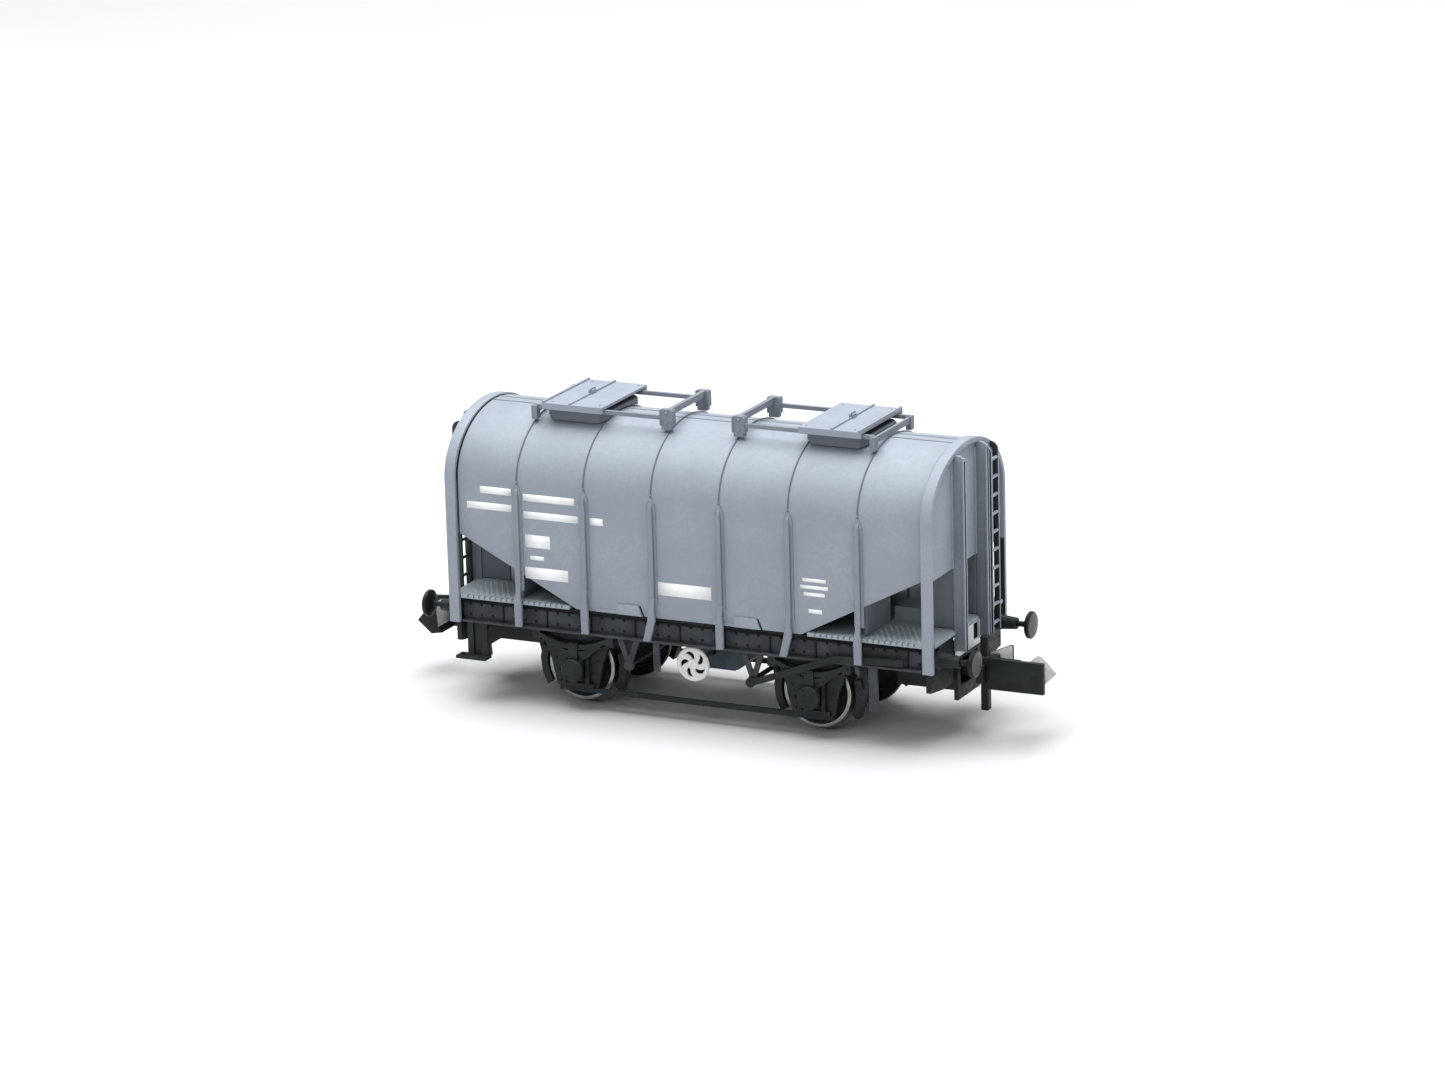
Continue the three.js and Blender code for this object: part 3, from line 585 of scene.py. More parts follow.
def roof_seams():
    bm = bmesh.new()
    for x in RIBS:
        outline = arch(SHEET_Y + 0.05, ROOF_RISE + 0.05, ARCH_STEPS)
        points = [(x, y, z) for y, z in outline]
        add_tube(bm, points, 0.06, 6)
    crown = EAVES + ROOF_RISE
    for y in (-0.6, 0.6):
        lift = crown - 0.03
        add_tube(bm, [(-SHELL_X + 0.15, y, lift), (SHELL_X - 0.15, y, lift)], 0.07, 6)
    # The raised seams take the halved body colour as painted shade.
    seams = finish_mesh("roof_seams", bm, SEAM_SHADE, angle=50)
    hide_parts("body_shell")


def add_side_rib(bm, x, lean):
    """T-section rib with a pointed top, a web that leans out at floor level, and a foot."""
    face = -SHEET_Y
    outer = -POST_Y
    flange = [(x - RIB_HALF, 10.2), (x + RIB_HALF, 10.2), (x + RIB_HALF, 18.6), (x + 0.1, 19.35),
              (x - 0.1, 19.35), (x - RIB_HALF, 18.6)]
    add_prism(bm, flange, 1, face - 0.12, face + 0.02)
    web = [(face, 19.1), (face - 0.2, 18.9), (outer, 18.3), (outer, 10.9), (-7.9, 9.6),
           (-7.6, 9.3), (face - 0.02, 9.9)]
    add_prism(bm, web, 0, x - 0.14, x + 0.14)
    strip = [(x - 0.24, 10.9), (x + 0.24, 10.9), (x + 0.24, 18.2), (x, 18.7), (x - 0.24, 18.2)]
    add_prism(bm, strip, 1, outer - 0.02, outer + 0.12)
    add_rib_foot(bm, x, lean)
    add_rivet(bm, x, face, 19.55, 1, -1, 0.13, 0.12)


def add_rib_foot(bm, x, lean):
    """The strip's lower end: it narrows, bends outward and widens into a foot."""
    rows = [(10.9, 0.24, -POST_Y, 0), (10.3, 0.2, -7.82, 0), (9.7, 0.22, -7.94, 0),
            (9.3, 0.32, -7.98, 0), (8.9, 0.34, -7.98, 0.05), (RIB_FOOT, 0.32, -7.96, 1)]
    front, back = [], []
    for z, half, y, share in rows:
        middle = x - lean * share
        front.append([bm.verts.new((middle - half, y, z)), bm.verts.new((middle + half, y, z))])
        back.append([bm.verts.new((middle - half, y + 0.3, z)), bm.verts.new((middle + half, y + 0.3, z))])
    for i in range(len(rows) - 1):
        bm.faces.new((front[i][0], front[i][1], front[i + 1][1], front[i + 1][0]))
        bm.faces.new((back[i][0], back[i + 1][0], back[i + 1][1], back[i][1]))
        for k in (0, 1):
            bm.faces.new((front[i][k], front[i + 1][k], back[i + 1][k], back[i][k]))
    for i in (0, -1):
        bm.faces.new((front[i][0], front[i][1], back[i][1], back[i][0]))


def side_ribs():
    bm = bmesh.new()
    for turned in (True, False):
        for index, x in enumerate(RIBS):
            add_side_rib(bm, x, RIB_LEAN if index in LEANING_RIBS else 0)
        if turned:
            half_turn(bm)
    # The ribs carry the darker body colour as painted shade.
    ribs = finish_mesh("side_ribs", bm, RIB_SHADE, bevel=0.05)
    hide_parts("body_shell")


# ---- end frames --------------------------------------------------------------------------
def add_hoop(bm, inset, rise_inset, foot, x0, x1):
    """A band of the end rim's shape: up one post, over the roof and down the other post."""
    outer, inner = [], []
    for line, width, rise in ((outer, POST_Y, RIM_RISE), (inner, POST_Y - inset, RIM_RISE - rise_inset)):
        line += [(width, foot), (width, END_PLATE_Z), *arch(width, rise, ARCH_STEPS)]
        line += [(-width, END_PLATE_Z), (-width, foot)]
    rows = [[bm.verts.new((x, y, z)) for y, z in line] for x in (x0, x1) for line in (outer, inner)]
    bands = ((rows[0], rows[2]), (rows[1], rows[3]), (rows[0], rows[1]), (rows[2], rows[3]))
    for first, second in bands:
        for i in range(len(outer) - 1):
            bm.faces.new((first[i], first[i + 1], second[i + 1], second[i]))
    for i in (0, -1):
        bm.faces.new((rows[0][i], rows[2][i], rows[3][i], rows[1][i]))


def end_frame(side, turned):
    bm = bmesh.new()
    add_hoop(bm, 0.4, 0.45, FRAME_LOW[2], SHELL_X + 0.02, END_X)
    plate = [(7.4, END_PLATE_Z), *arch(7.4, ROOF_RISE - 0.2, ARCH_STEPS), (-7.4, END_PLATE_Z)]
    add_prism(bm, plate, 0, 21.45, 21.8)
    tip = FRAME_HIGH[0]
    for y in (-T_POST_Y, T_POST_Y):
        web = [(21.79, 7.5), (tip, 7.5), (tip, 23.6), (tip - 0.3, 24.0), (21.79, 24.05)]
        add_prism(bm, web, 1, y - 0.15, y + 0.15)
        flange = [(y - 0.32, 7.9), (y - 0.16, 7.5), (y + 0.16, 7.5), (y + 0.32, 7.9), (y + 0.33, 23.2),
                  (y + 0.16, 23.85), (y - 0.16, 23.85), (y - 0.33, 23.2)]
        add_prism(bm, flange, 0, tip - 0.2, tip)
        base = [(y - 0.36, END_PLATE_Z), (y + 0.36, END_PLATE_Z), (y + 0.36, 23.6), (y - 0.36, 23.6)]
        add_prism(bm, base, 0, 21.75, 21.92)
    low, high = FRAME_LOW[2] + 0.02, SOLEBAR_TOP + 0.02
    hole_low, hole_high = SILL_HOLE_Z
    add_box(bm, *SILL_X, -T_POST_Y, SILL_HOLE_Y[0], low, high)
    add_box(bm, *SILL_X, SILL_HOLE_Y[1], T_POST_Y, low, high)
    add_box(bm, *SILL_X, SILL_HOLE_Y[0] - 0.05, SILL_HOLE_Y[1] + 0.05, low, hole_low)
    add_box(bm, *SILL_X, SILL_HOLE_Y[0] - 0.05, SILL_HOLE_Y[1] + 0.05, hole_high, high)
    if turned:
        half_turn(bm)
    frame_piece = finish_mesh(f"end_frame_{side}_sheets", bm, BODY, bevel=0.04)

    def inward(face):
        across = face.center.y
        return abs(across) > 7.2 * MM and face.normal.y * across < 0 and face.center.z < END_PLATE_Z * MM

    def sill(face):
        out = abs(face.center.x) / MM
        return SILL_X[0] < out < SILL_X[1] + 0.01 and face.center.z < SOLEBAR_TOP * MM

    def web(face):
        out = abs(face.center.x) / MM
        return out > SILL_X[1] and abs(face.normal.y) > 0.9 and abs(face.center.y) < 4 * MM

    # The T-post webs' side faces take the darker body colour as painted shade.
    second_material(frame_piece, DARKER_BODY, web)
    second_material(frame_piece, DEEP_SHADE, inward)
    second_material(frame_piece, SILL_PAINT, sill)
    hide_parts(f"end_frame_{side}")


def sill_hole_shade(side, turned):
    """A black plate behind the sill's square hole as painted shade."""
    bm = bmesh.new()
    add_box(bm, SILL_X[0] - 0.04, SILL_X[0] + 0.02, SILL_HOLE_Y[0] - 0.1, SILL_HOLE_Y[1] + 0.1,
            SILL_HOLE_Z[0] - 0.1, SILL_HOLE_Z[1] + 0.05)
    if turned:
        half_turn(bm)
    finish_mesh(f"sill_hole_shade_{side}", bm, RECESS, angle=60)


def joint_line(side, sign):
    """The dark gap where the roof moulding meets the end rim."""
    bm = bmesh.new()
    outline = arch(SHEET_Y - 0.06, ROOF_RISE - 0.06, ARCH_STEPS)
    points = [(sign * (SHELL_X - 0.03), y, z) for y, z in outline]
    add_tube(bm, points, 0.1, 6)
    finish_mesh(f"roof_joint_{side}", bm, RECESS, angle=60)


# ---- ladders -----------------------------------------------------------------------------
def ladder(side, turned):
    bm = bmesh.new()
    depth = 0.4
    x = LADDER_HIGH[0] - depth / 2
    low_y, high_y = LADDER_LOW[1] + 0.1, LADDER_HIGH[1] - 0.1
    bend = 0.47
    top = LADDER_HIGH[2] - depth / 2 - bend
    for y in (low_y, high_y):
        path = [(x, LADDER_LOW[2]), (x, top)]
        path += [(x - bend * (1 - math.cos(a)), top + bend * math.sin(a))
                 for a in (math.pi / 2 * i / 8 for i in range(1, 9))]
        add_strap(bm, path, depth + 0.1, y - 0.11, y + 0.11)
    for i in range(RUNG_COUNT):
        z = LOWEST_RUNG + RUNG_PITCH * i
        add_tube(bm, [(x + 0.1, low_y, z), (x + 0.1, high_y, z)], 0.14, 10)
    if turned:
        half_turn(bm)
    piece = finish_mesh(f"ladder_{side}_rails", bm, BODY, bevel=0.03)
    inward = 1 if turned else -1

    def shaded(face):
        return abs(face.normal.y) > 0.9 or face.normal.x * inward > 0.5

    second_material(piece, DEEP_SHADE, shaded)
    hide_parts(f"ladder_{side}")


def add_strap(bm, path, thickness, y0, y1):
    """A flat bar of constant thickness along a line of (x, z) points."""
    left, right = [], []
    for i, (x, z) in enumerate(path):
        ax, az = path[max(i - 1, 0)]
        bx, bz = path[min(i + 1, len(path) - 1)]
        length = math.hypot(bx - ax, bz - az)
        nx, nz = -(bz - az) / length * thickness / 2, (bx - ax) / length * thickness / 2
        left.append((x + nx, z + nz))
        right.append((x - nx, z - nz))
    count = len(path)
    corners = []
    for y in (y0, y1):
        corners.append([bm.verts.new((px, y, pz)) for px, pz in left + right])
    a, b = corners
    for i in range(count - 1):
        bm.faces.new((a[i], a[i + 1], a[count + i + 1], a[count + i]))
        bm.faces.new((b[i], b[i + 1], b[count + i + 1], b[count + i]))
        bm.faces.new((a[i], a[i + 1], b[i + 1], b[i]))
        bm.faces.new((a[count + i], a[count + i + 1], b[count + i + 1], b[count + i]))
    for i in (0, count - 1):
        bm.faces.new((a[i], a[count + i], b[count + i], b[i]))


# ---- wheels and buffers ------------------------------------------------------------------
def tyre(end, side, x, sign):
    bm = bmesh.new()
    width = WHEEL_FACE - WHEEL_BACK
    rim = TREAD_R - 0.36
    profile = [(0, rim), (0, FLANGE_R - 0.12), (0.08, FLANGE_R - 0.02), (0.2, FLANGE_R),
               (0.32, FLANGE_R - 0.03), (0.42, FLANGE_R - 0.14), (0.52, TREAD_R + 0.2),
               (0.66, TREAD_R + 0.05), (0.9, TREAD_R + 0.01), (width - 0.12, TREAD_R - 0.05),
               (width - 0.03, TREAD_R - 0.08), (width, TREAD_R - 0.14), (width, rim), (0, rim)]
    placed = [(sign * (WHEEL_BACK + along), radius) for along, radius in profile]
    add_lathe(bm, placed, 1, (x, 0, AXLE_Z), 96)
    body = f"wheelset_{end}"
    piece = finish_mesh(f"tyre_{end}_{side}_turned", bm, TYRES[end], body, angle=40)
    second_material(piece, CHASSIS, lambda face: abs(face.center.y) < (WHEEL_BACK + 0.03) * MM)
    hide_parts(f"tyre_{end}_{side}")


def wheel_centre(end, side, x, sign):
    bm = bmesh.new()
    rim = TREAD_R - 0.38
    profile = [(0.1, 0.77), (0.1, rim), (1.88, rim), (1.84, rim - 0.1), (1.6, rim - 0.3), (1.5, 1.9),
               (1.52, 1.35), (1.62, 1.15), (1.9, 1.1), (1.95, 1.02), (1.95, 0.77), (0.1, 0.77)]
    placed = [(sign * (WHEEL_BACK + along), radius) for along, radius in profile]
    add_lathe(bm, placed, 1, (x, 0, AXLE_Z), 64)
    for k in range(BOLT_COUNT):
        angle = 2 * math.pi * k / BOLT_COUNT
        centre = (x + BOLT_CIRCLE * math.cos(angle), 0, AXLE_Z + BOLT_CIRCLE * math.sin(angle))
        face = sign * (WHEEL_BACK + 1.5)
        rise = sign * 0.06
        boss = [(face, 0.2), (face + rise, 0.2), (face + rise, 0.14), (face - rise, 0.12), (face - rise, 0)]
        add_lathe(bm, boss, 1, centre, 16)
    name = f"wheel_centre_{end}_{side}_disc"
    piece = finish_mesh(name, bm, CHASSIS, f"wheelset_{end}", 0.02, 40)
    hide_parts(f"wheel_centre_{end}_{side}")


def buffer_head(end, side, sign_x, sign_y):
    bm = bmesh.new()
    face = BUFFER_HIGH[0]
    radius = (BUFFER_HIGH[2] - BUFFER_LOW[2]) / 2
    profile = [(BUFFER_LOW[0], 0), (BUFFER_LOW[0], 0.24), (face - 0.95, 0.24), (face - 0.8, 0.34),
               (face - 0.62, 0.72), (face - 0.5, radius - 0.1), (face - 0.42, radius),
               (face - 0.18, radius), (face - 0.08, radius - 0.1), (face - 0.03, radius - 0.3),
               (face, radius - 0.55), (face, 0)]
    placed = [(sign_x * along, r) for along, r in profile]
    add_lathe(bm, placed, 0, (0, sign_y * BUFFER_Y, BUFFER_Z), 48)
    piece = finish_mesh(f"buffer_{end}_{side}_turned", bm, COUPLER, angle=30)
    # The front faces take grey as painted highlight.
    second_material(piece, BUFFER_FACE_HIGHLIGHT, lambda part: part.normal.x * sign_x > 0.8)
    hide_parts(f"buffer_head_{end}_{side}")


# ---- handwheel ---------------------------------------------------------------------------
def handwheel(side, sign):
    """A dished disc wheel: rounded rim, hub, and five broad curved spokes between slots."""
    bm = bmesh.new()
    z = (HANDWHEEL_LOW[2] + HANDWHEEL_HIGH[2]) / 2
    centre = (0, sign * HANDWHEEL_Y, z)
    radius = (HANDWHEEL_HIGH[2] - HANDWHEEL_LOW[2]) / 2
    turns = [2 * math.pi * i / RIM_STEPS for i in range(RIM_STEPS + 1)]
    rim = [(0.15 * math.sin(a), radius - 0.2 + 0.2 * math.cos(a)) for a in turns]
    add_lathe(bm, rim, 1, centre, 56)
    hub = [(-0.2, 0), (-0.2, 0.42), (-0.14, 0.48), (0.1, 0.48), (0.2, 0.38), (0.2, 0.16),
           (0.14, 0.14), (0.14, 0)]
    add_lathe(bm, [(sign * along, r) for along, r in hub], 1, centre, 28)
    for k in range(SPOKE_COUNT):
        start = 2 * math.pi * k / SPOKE_COUNT + 0.35
        inner, outer = [], []
        for i in range(SPOKE_STEPS + 1):
            t = i / SPOKE_STEPS
            r = 0.4 + (radius - 0.65) * t
            bend = 0.75 * t
            inner.append((r * math.cos(start + bend), z + r * math.sin(start + bend)))
            wide = start + bend + 0.95 - 0.25 * math.sin(math.pi * t)
            outer.append((r * math.cos(wide), z + r * math.sin(wide)))
        add_prism(bm, inner + outer[::-1], 1, *sorted((sign * 6.5, sign * 6.69)))
    dish = [(-0.13, 0.14), (-0.13, radius - 0.25), (-0.05, radius - 0.25), (-0.05, 0.14), (-0.13, 0.14)]
    add_lathe(bm, [(sign * along, r) for along, r in dish], 1, centre, 48)
    piece = finish_mesh(f"handwheel_{side}_disc", bm, WHITE, "discharge_wheel", 0.03, 40)
    second_material(piece, RECESS, lambda face: abs(abs(face.center.y) / MM - 6.55) < 0.003)
    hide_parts(f"handwheel_{side}")


# ---- couplers ----------------------------------------------------------------------------
def coupler(end):
    """Spring coupler: shank, cross bar, arm plate with two ledges, guard, nose and tail pin."""
    bm = bmesh.new()
    z = COUPLER_Z
    add_box(bm, 18.9, 24.0, -0.85, 0.85, z - 0.5, z + 0.5)
    add_box(bm, 18.6, 19.3, -1.5, 1.5, z - 0.5, z + 0.5)
    add_box(bm, 23.4, 24.1, -2.0, 2.0, z - 0.75, z + 0.8)
    arm_end = NOSE_X - 0.1
    arm = [(23.7, 4.2), (arm_end, 4.2), (arm_end, 6.85), (23.7, 6.85)]
    add_prism(bm, arm, 1, -1.55, -1.1)
    add_box(bm, 23.9, arm_end - 2.2, -1.12, -0.75, 6.62, 6.8)
    add_box(bm, 23.9, arm_end - 2.2, -1.12, -0.75, 4.25, 4.43)
    guard = [(22.9, 5.5), (25.2, 5.4), (25.2, 7.1), (24.9, 7.1), (22.9, 6.2)]
    add_prism(bm, guard, 1, 1.62, 1.98)
    nose = [(NOSE_X, 5.3), (NOSE_X - 1.3, 6.6), (NOSE_X - 1.7, 6.65), (NOSE_X - 1.95, 6.15),
            (NOSE_X - 1.95, 4.7), (NOSE_X - 2.3, 4.2), (NOSE_X - 1.2, 4.1)]
    add_prism(bm, nose, 1, -1.08, 1.2)
    add_box(bm, 23.15, 23.8, -0.35, 0.35, 1.95, 8.25)
    for x in (24.5, NOSE_X - 1.0):
        add_rivet(bm, x, -1.55, 5.5, 1, -1, 0.2, 0.04)
    hang = math.radians(COUPLER_DROOP) if end == "left" else 0
    pivot = Vector((PIVOT_X, 0, COUPLER_Z))
    bmesh.ops.rotate(bm, verts=bm.verts, cent=pivot, matrix=Matrix.Rotation(hang, 3, "Y"))
    if end == "left":
        half_turn(bm)
        bmesh.ops.translate(bm, verts=bm.verts, vec=(COUPLER_PUSHED_IN, 0, 0))
    sign = -1 if end == "left" else 1
    piece = finish_mesh(f"coupler_{end}_arm", bm, COUPLER, f"coupling_{end}", 0.05, 35)

    # Painted highlight: the nose faces and one face of the guard are given light greys.
    def nose_highlight_faces(face):
        out = abs(face.center.x) / MM
        return out > NOSE_X - 2.4 and face.center.y * sign > -1.09 * MM and face.normal.y * sign < 0.5

    def guard_highlight_faces(face):
        return face.center.y * sign > 1.5 * MM and face.normal.y * sign < -0.5

    second_material(piece, NOSE_HIGHLIGHT, nose_highlight_faces)
    second_material(piece, GUARD_HIGHLIGHT, guard_highlight_faces)
    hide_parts(f"coupler_{end}")


# ---- details that the solids leave out ----------------------------------------------------
def floor_tread():
    """Raised dots all over the end platforms, and notches along their outer edges made dark as painted
    shade.
    """
    dots = bmesh.new()
    notches = bmesh.new()
    top = FLOOR_TOP
    edge = FLOOR_HIGH[1]
    for side in (-1, 1):
        for end in (-1, 1):
            for i in range(18):
                x = end * (11.6 + 0.52 * i)
                across = sorted((side * (edge - 0.3), side * (edge + 0.012)))
                add_box(notches, x - 0.07, x + 0.07, *across, top - 0.2, top + 0.012)
            for row in range(9):
                for i in range(9):
                    x = end * (16.4 + 0.52 * i + 0.26 * (row % 2))
                    y = side * (edge - 0.75 - 0.45 * row)
                    if abs(x) < 20.9 and abs(abs(y) - T_POST_Y) > 0.25:
                        add_rivet(dots, x, y, top, 2, 1, 0.12, 0.05)
    # The studs take the lighter copy of the floor colour as painted highlight.
    finish_mesh("floor_studs", dots, STUD_HIGHLIGHT, angle=60)
    finish_mesh("floor_notches", notches, SEAM_SHADE, angle=60)


def shadow_gap():
    """The black gap between the body and the solebar's top flange."""
    bm = bmesh.new()
    for side in (-1, 1):
        near = sorted((side * (FLANGE_Y - 0.3), side * (FLANGE_Y + 0.015)))
        add_box(bm, -END_X + 0.95, END_X - 0.95, *near, SOLEBAR_TOP - 0.3, SOLEBAR_TOP + 0.06)
    finish_mesh("shadow_gap", bm, RECESS, angle=60)


def solebar_rivets():
    bm = bmesh.new()
    web = WEB_Y
    for side in (-1, 1):
        for i in range(41):
            x = -20.6 + 1.03 * i
            if i % 4 == 3:
                add_box(bm, x - 0.06, x + 0.06, *sorted((side * web, side * (web + 0.12))), 7.1, 8.7)
                continue
            for z in (7.45, 8.35):
                add_rivet(bm, x, side * web, z, 1, side, 0.13, 0.08)
    # The rivet heads and stiffeners take the near-black coupler plastic, darker than the solebar, as
    # painted shade.
    finish_mesh("solebar_rivets", bm, COUPLER, angle=60)


def headstock_bolts():
    bm = bmesh.new()
    for end in (-1, 1):
        for side in (-1, 1):
            for dy in (-0.62, 0.62):
                for dz in (-0.62, 0.62):
                    add_rivet(bm, end * 21.95, side * BUFFER_Y + dy, BUFFER_Z + dz, 0, end, 0.1, 0.1)
            for dy in (-1.3, 1.1):
                add_rivet(bm, end * 21.75, side * BUFFER_Y + dy, 6.1, 0, end, 0.1, 0.08)
    finish_mesh("headstock_bolts", bm, CHASSIS, angle=60)


def axleguard_details():
    """Round axlebox covers with their bolts, and the rivet heads of the four axleguards."""
    bm = bmesh.new()
    for end in (-1, 1):
        for side in (-1, 1):
            x = end * WHEELBASE / 2
            face = side * 7.7
            cover = [(-0.34, 0), (-0.34, 0.98), (-0.06, 0.98), (0, 0.9), (0, 0.72), (-0.1, 0.68),
                     (-0.1, 0.46), (0.04, 0.4), (0.06, 0.3), (0.06, 0)]
            add_lathe(bm, [(side * along, r) for along, r in cover], 1, (x, face, AXLE_Z), 32)
            for k in range(4):
                angle = math.pi * (k + 0.5) / 2
                bolt = (x + 0.81 * math.cos(angle), AXLE_Z + 0.81 * math.sin(angle))
                add_rivet(bm, bolt[0], face, bolt[1], 1, side, 0.08, 0.05)
            for dx in (-0.22, 0.22):
                add_rivet(bm, x + dx, side * 7.34, 5.75, 1, side, 0.1, 0.04)
                add_rivet(bm, x + dx, side * 7.34, 4.75, 1, side, 0.1, 0.04)
            for sx in (-1, 1):
                add_rivet(bm, x + sx * 3.42, side * 7.25, 6.4, 1, side, 0.17, 0.08)
                add_rivet(bm, x + sx * 1.08, side * 6.95, 4.7, 1, side, 0.1, 0.06)
                add_rivet(bm, x + sx * 1.08, side * 6.95, 2.65, 1, side, 0.1, 0.06)
                add_rivet(bm, x + sx * 1.65, side * 6.55, 3.4, 1, side, 0.13, 0.08)
                add_rivet(bm, x + sx * 1.95, side * 6.55, 4.4, 1, side, 0.13, 0.08)
    finish_mesh("axleguard_bolts", bm, CHASSIS, angle=60)


def hatch_details():
    """Handles and corner pins of the two roof hatches."""
    for end, sign in (("right", 1), ("left", -1)):
        bm = bmesh.new()
        top = COVER_HIGH[2] - 0.25
        for x in (COVER_LOW[0] + 0.5, COVER_HIGH[0] - 0.75):
            for y in (-3.6, 3.6):
                add_rivet(bm, sign * x, y, top - 0.11, 2, 1, 0.12, 0.07)
        add_tube(bm, [(sign * 11.95, -0.55, top + 0.1), (sign * 11.95, -0.45, top + 0.3),
                      (sign * 11.95, 0.45, top + 0.3), (sign * 11.95, 0.55, top + 0.1)], 0.07, 8)
        finish_mesh(f"hatch_fittings_{end}", bm, DARKER_BODY, f"hatch_{end}", angle=60)


def hatch_clips():
    """The pressed clips that hold the hatch rails to their inner posts."""
    bm = bmesh.new()
    for end in (-1, 1):
        for side in (-1, 1):
            for x0, x1 in ((2.72, 2.86), (3.74, 3.88)):
                add_box(bm, *sorted((end * x0, end * x1)), *sorted((side * 3.02, side * 3.78)), 24.55, 25.9)
            for z in (24.75, 25.6):
                add_rivet(bm, end * 3.3, side * 3.68, z, 1, side, 0.17, 0.1)
    finish_mesh("hatch_clips", bm, DARKER_BODY, bevel=0.03)


def markings():
    """Plain white bars where the real wagon carries its painted data."""
    bm = bmesh.new()
    face = SHEET_Y + 0.012

    def bar(side, x0, x1, z0, z1):
        add_box(bm, x0, x1, *sorted((side * face, side * (face - BAR_PRINT))), z0, z1)

    rows = [
        (-19.0, -16.1, 18.3, 18.9), (-15.0, -10.2, 18.0, 18.6),
        (-20.3, -16.1, 16.9, 17.5), (-15.0, -9.9, 16.5, 17.1), (-8.8, -7.6, 16.5, 17.1),
        (-14.9, -12.6, 14.0, 15.1),
        (-14.5, -13.2, 12.95, 13.3),
        (-15.0, -11.0, 11.3, 12.3),
        (-3.0, 2.2, 11.1, 12.2),
        (10.5, 12.6, 13.6, 13.9), (10.3, 12.8, 13.0, 13.3), (10.6, 12.5, 12.4, 12.7),
        (11.0, 12.2, 10.95, 11.3),
    ]
    for x0, x1, z0, z1 in rows:
        bar(-1, x0, x1, z0, z1)
        bar(1, -x1, -x0, z0, z1)
    finish_mesh("data_bars", bm, MARKING, angle=60)


# ---- carried-over solids -----------------------------------------------------------------
def dress_cad_nodes():
    """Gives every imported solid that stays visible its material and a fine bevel."""
    looks = {
        "floor": (FLOOR_PAINT, 0.03), "ballast": (STEEL, 0.05), "discharge": (CHUTE, 0.06),
        "hopper_end": (HOPPER, 0.04), "hatch_frame": (DARKER_BODY, 0.05), "hatch_cover": (BODY, 0.05),
        # The coamings' halved body colour is painted shade.
        "hatch_coaming": (COAMING_SHADE, 0.08), "headstock": (CHASSIS, 0.05), "coupler_pocket": (CHASSIS, 0.05),
        "coupler_spring": (SPRING, 0.0), "solebar": (SOLEBAR, 0.04),
        "tie_bar": (CHASSIS, 0.04), "brake": (CHASSIS, 0.04), "end_step": (CHASSIS, 0.04),
        "handwheel_spindle": (STEEL, 0.03), "axle_": (STEEL, 0.03), "axleguard": (CHASSIS, 0.045),
    }
    for name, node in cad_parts.items():
        matches = [key for key in looks if name.startswith(key)]
        if not matches:
            continue
        material, bevel = looks[max(matches, key=len)]
        node.data.materials.clear()
        node.data.materials.append(material)
        soften_packed(node, bevel)


def soften_packed(node, bevel):
    """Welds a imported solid's split corners by modifier, then bevels it; the mesh is untouched."""
    weld = node.modifiers.new("weld", "WELD")
    weld.merge_threshold = 0.0005 * MM
    if bevel:
        modifier = node.modifiers.new("edge", "BEVEL")
        modifier.width = bevel * MM
        modifier.segments = 2
        modifier.limit_method = "ANGLE"
        modifier.angle_limit = math.radians(38)
    normals = node.modifiers.new("smooth", "NODES")
    normals.node_group = smooth_by_angle(38)


# ---- stage -------------------------------------------------------------------------------
def area_light(name, place, target, size, power, colour=(1, 1, 1)):
    light = bpy.data.objects.new(name, bpy.data.lights.new(name, "AREA"))
    light.data.shape = "RECTANGLE"
    light.data.size = size[0]
    light.data.size_y = size[1]
    light.data.energy = power
    light.data.color = colour
    light.location = place
    light.rotation_euler = (Vector(target) - Vector(place)).to_track_quat("-Z", "Y").to_euler()
    bpy.context.scene.collection.objects.link(light)


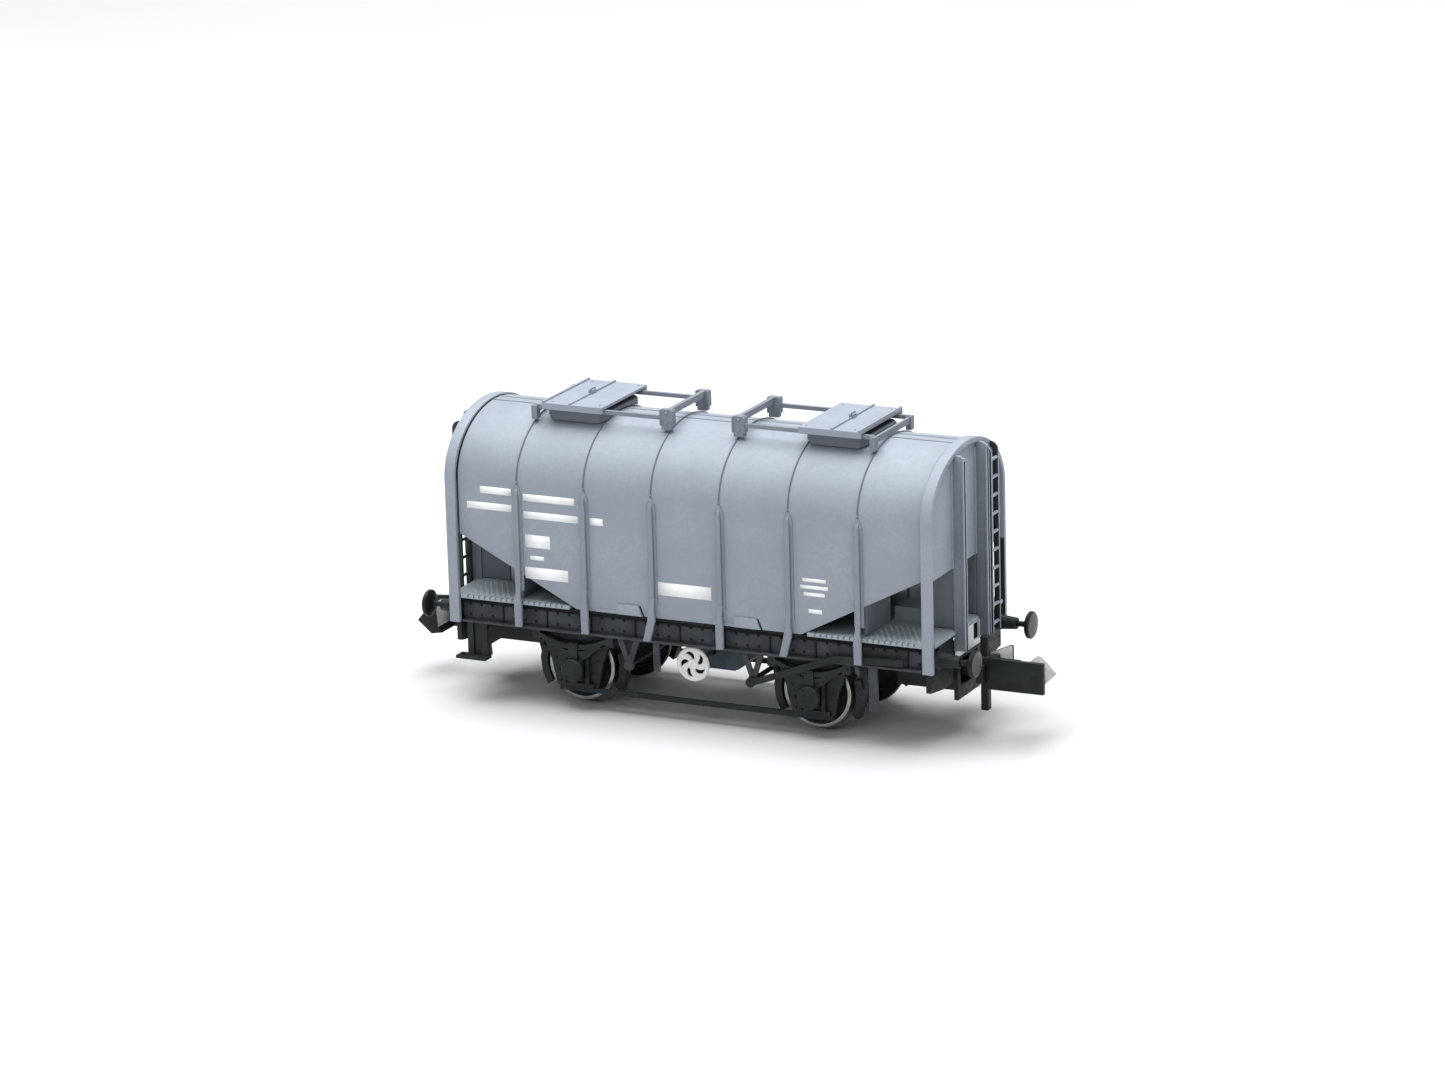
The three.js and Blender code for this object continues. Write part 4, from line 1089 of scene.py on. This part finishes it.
def make_stage():
    bm = bmesh.new()
    reach = 3.0
    square = ((-1, -1), (1, -1), (1, 1), (-1, 1))
    corners = [bm.verts.new((sx * reach, sy * reach, 0)) for sx, sy in square]
    bm.faces.new(corners)
    mesh = bpy.data.meshes.new("floor_sheet")
    bm.to_mesh(mesh)
    bm.free()
    ground = bpy.data.objects.new("floor_sheet", mesh)
    bpy.context.scene.collection.objects.link(ground)
    s = Shader("floor_pale", Roughness=0.75)
    s.colour(s.ramp(s.noise(60, 3), [(0.3, (0.64, 0.64, 0.645)), (0.7, (0.67, 0.67, 0.675))]))
    ground.data.materials.append(s.material)

    world = bpy.data.worlds.new("studio")
    bpy.context.scene.world = world
    world.use_nodes = True
    background = world.node_tree.nodes["Background"]
    background.inputs["Color"].default_value = (0.94, 0.96, 1.0, 1)
    background.inputs["Strength"].default_value = 0.3
    middle = (0, 0, 0.01)
    area_light("overhead", (-0.05, 0.05, 0.55), middle, (0.7, 0.6), 6.8)
    area_light("front", (0.1, -0.6, 0.35), middle, (0.5, 0.4), 0.9)
    area_light("right_fill", (0.6, -0.1, 0.25), middle, (0.35, 0.35), 0.5)
    bpy.context.scene.view_settings.view_transform = "Standard"


# ---- assembly ----------------------------------------------------------------------------
def build():
    make_camera()
    dress_cad_nodes()
    body_shell()
    panel_edges()
    roof_seams()
    side_ribs()
    for end, sign in (("right", 1), ("left", -1)):
        end_frame(end, sign < 0)
        sill_hole_shade(end, sign < 0)
        joint_line(end, sign)
        ladder(end, sign < 0)
        coupler(end)
        for side, reach in (("near", -1), ("far", 1)):
            tyre(end, side, sign * WHEELBASE / 2, reach)
            wheel_centre(end, side, sign * WHEELBASE / 2, reach)
            buffer_head(end, side, sign, reach)
    handwheel("near", -1)
    handwheel("far", 1)
    floor_tread()
    shadow_gap()
    solebar_rivets()
    headstock_bolts()
    axleguard_details()
    hatch_details()
    hatch_clips()
    markings()
    make_stage()


NICKEL = (0.31, 0.30, 0.285)
TYRES = {
    "right": turned_metal("tyre_nickel_right", NICKEL, centre=(WHEELBASE / 2, AXLE_Z)),
    "left": turned_metal("tyre_nickel_left", NICKEL, centre=(-WHEELBASE / 2, AXLE_Z)),
}
build()
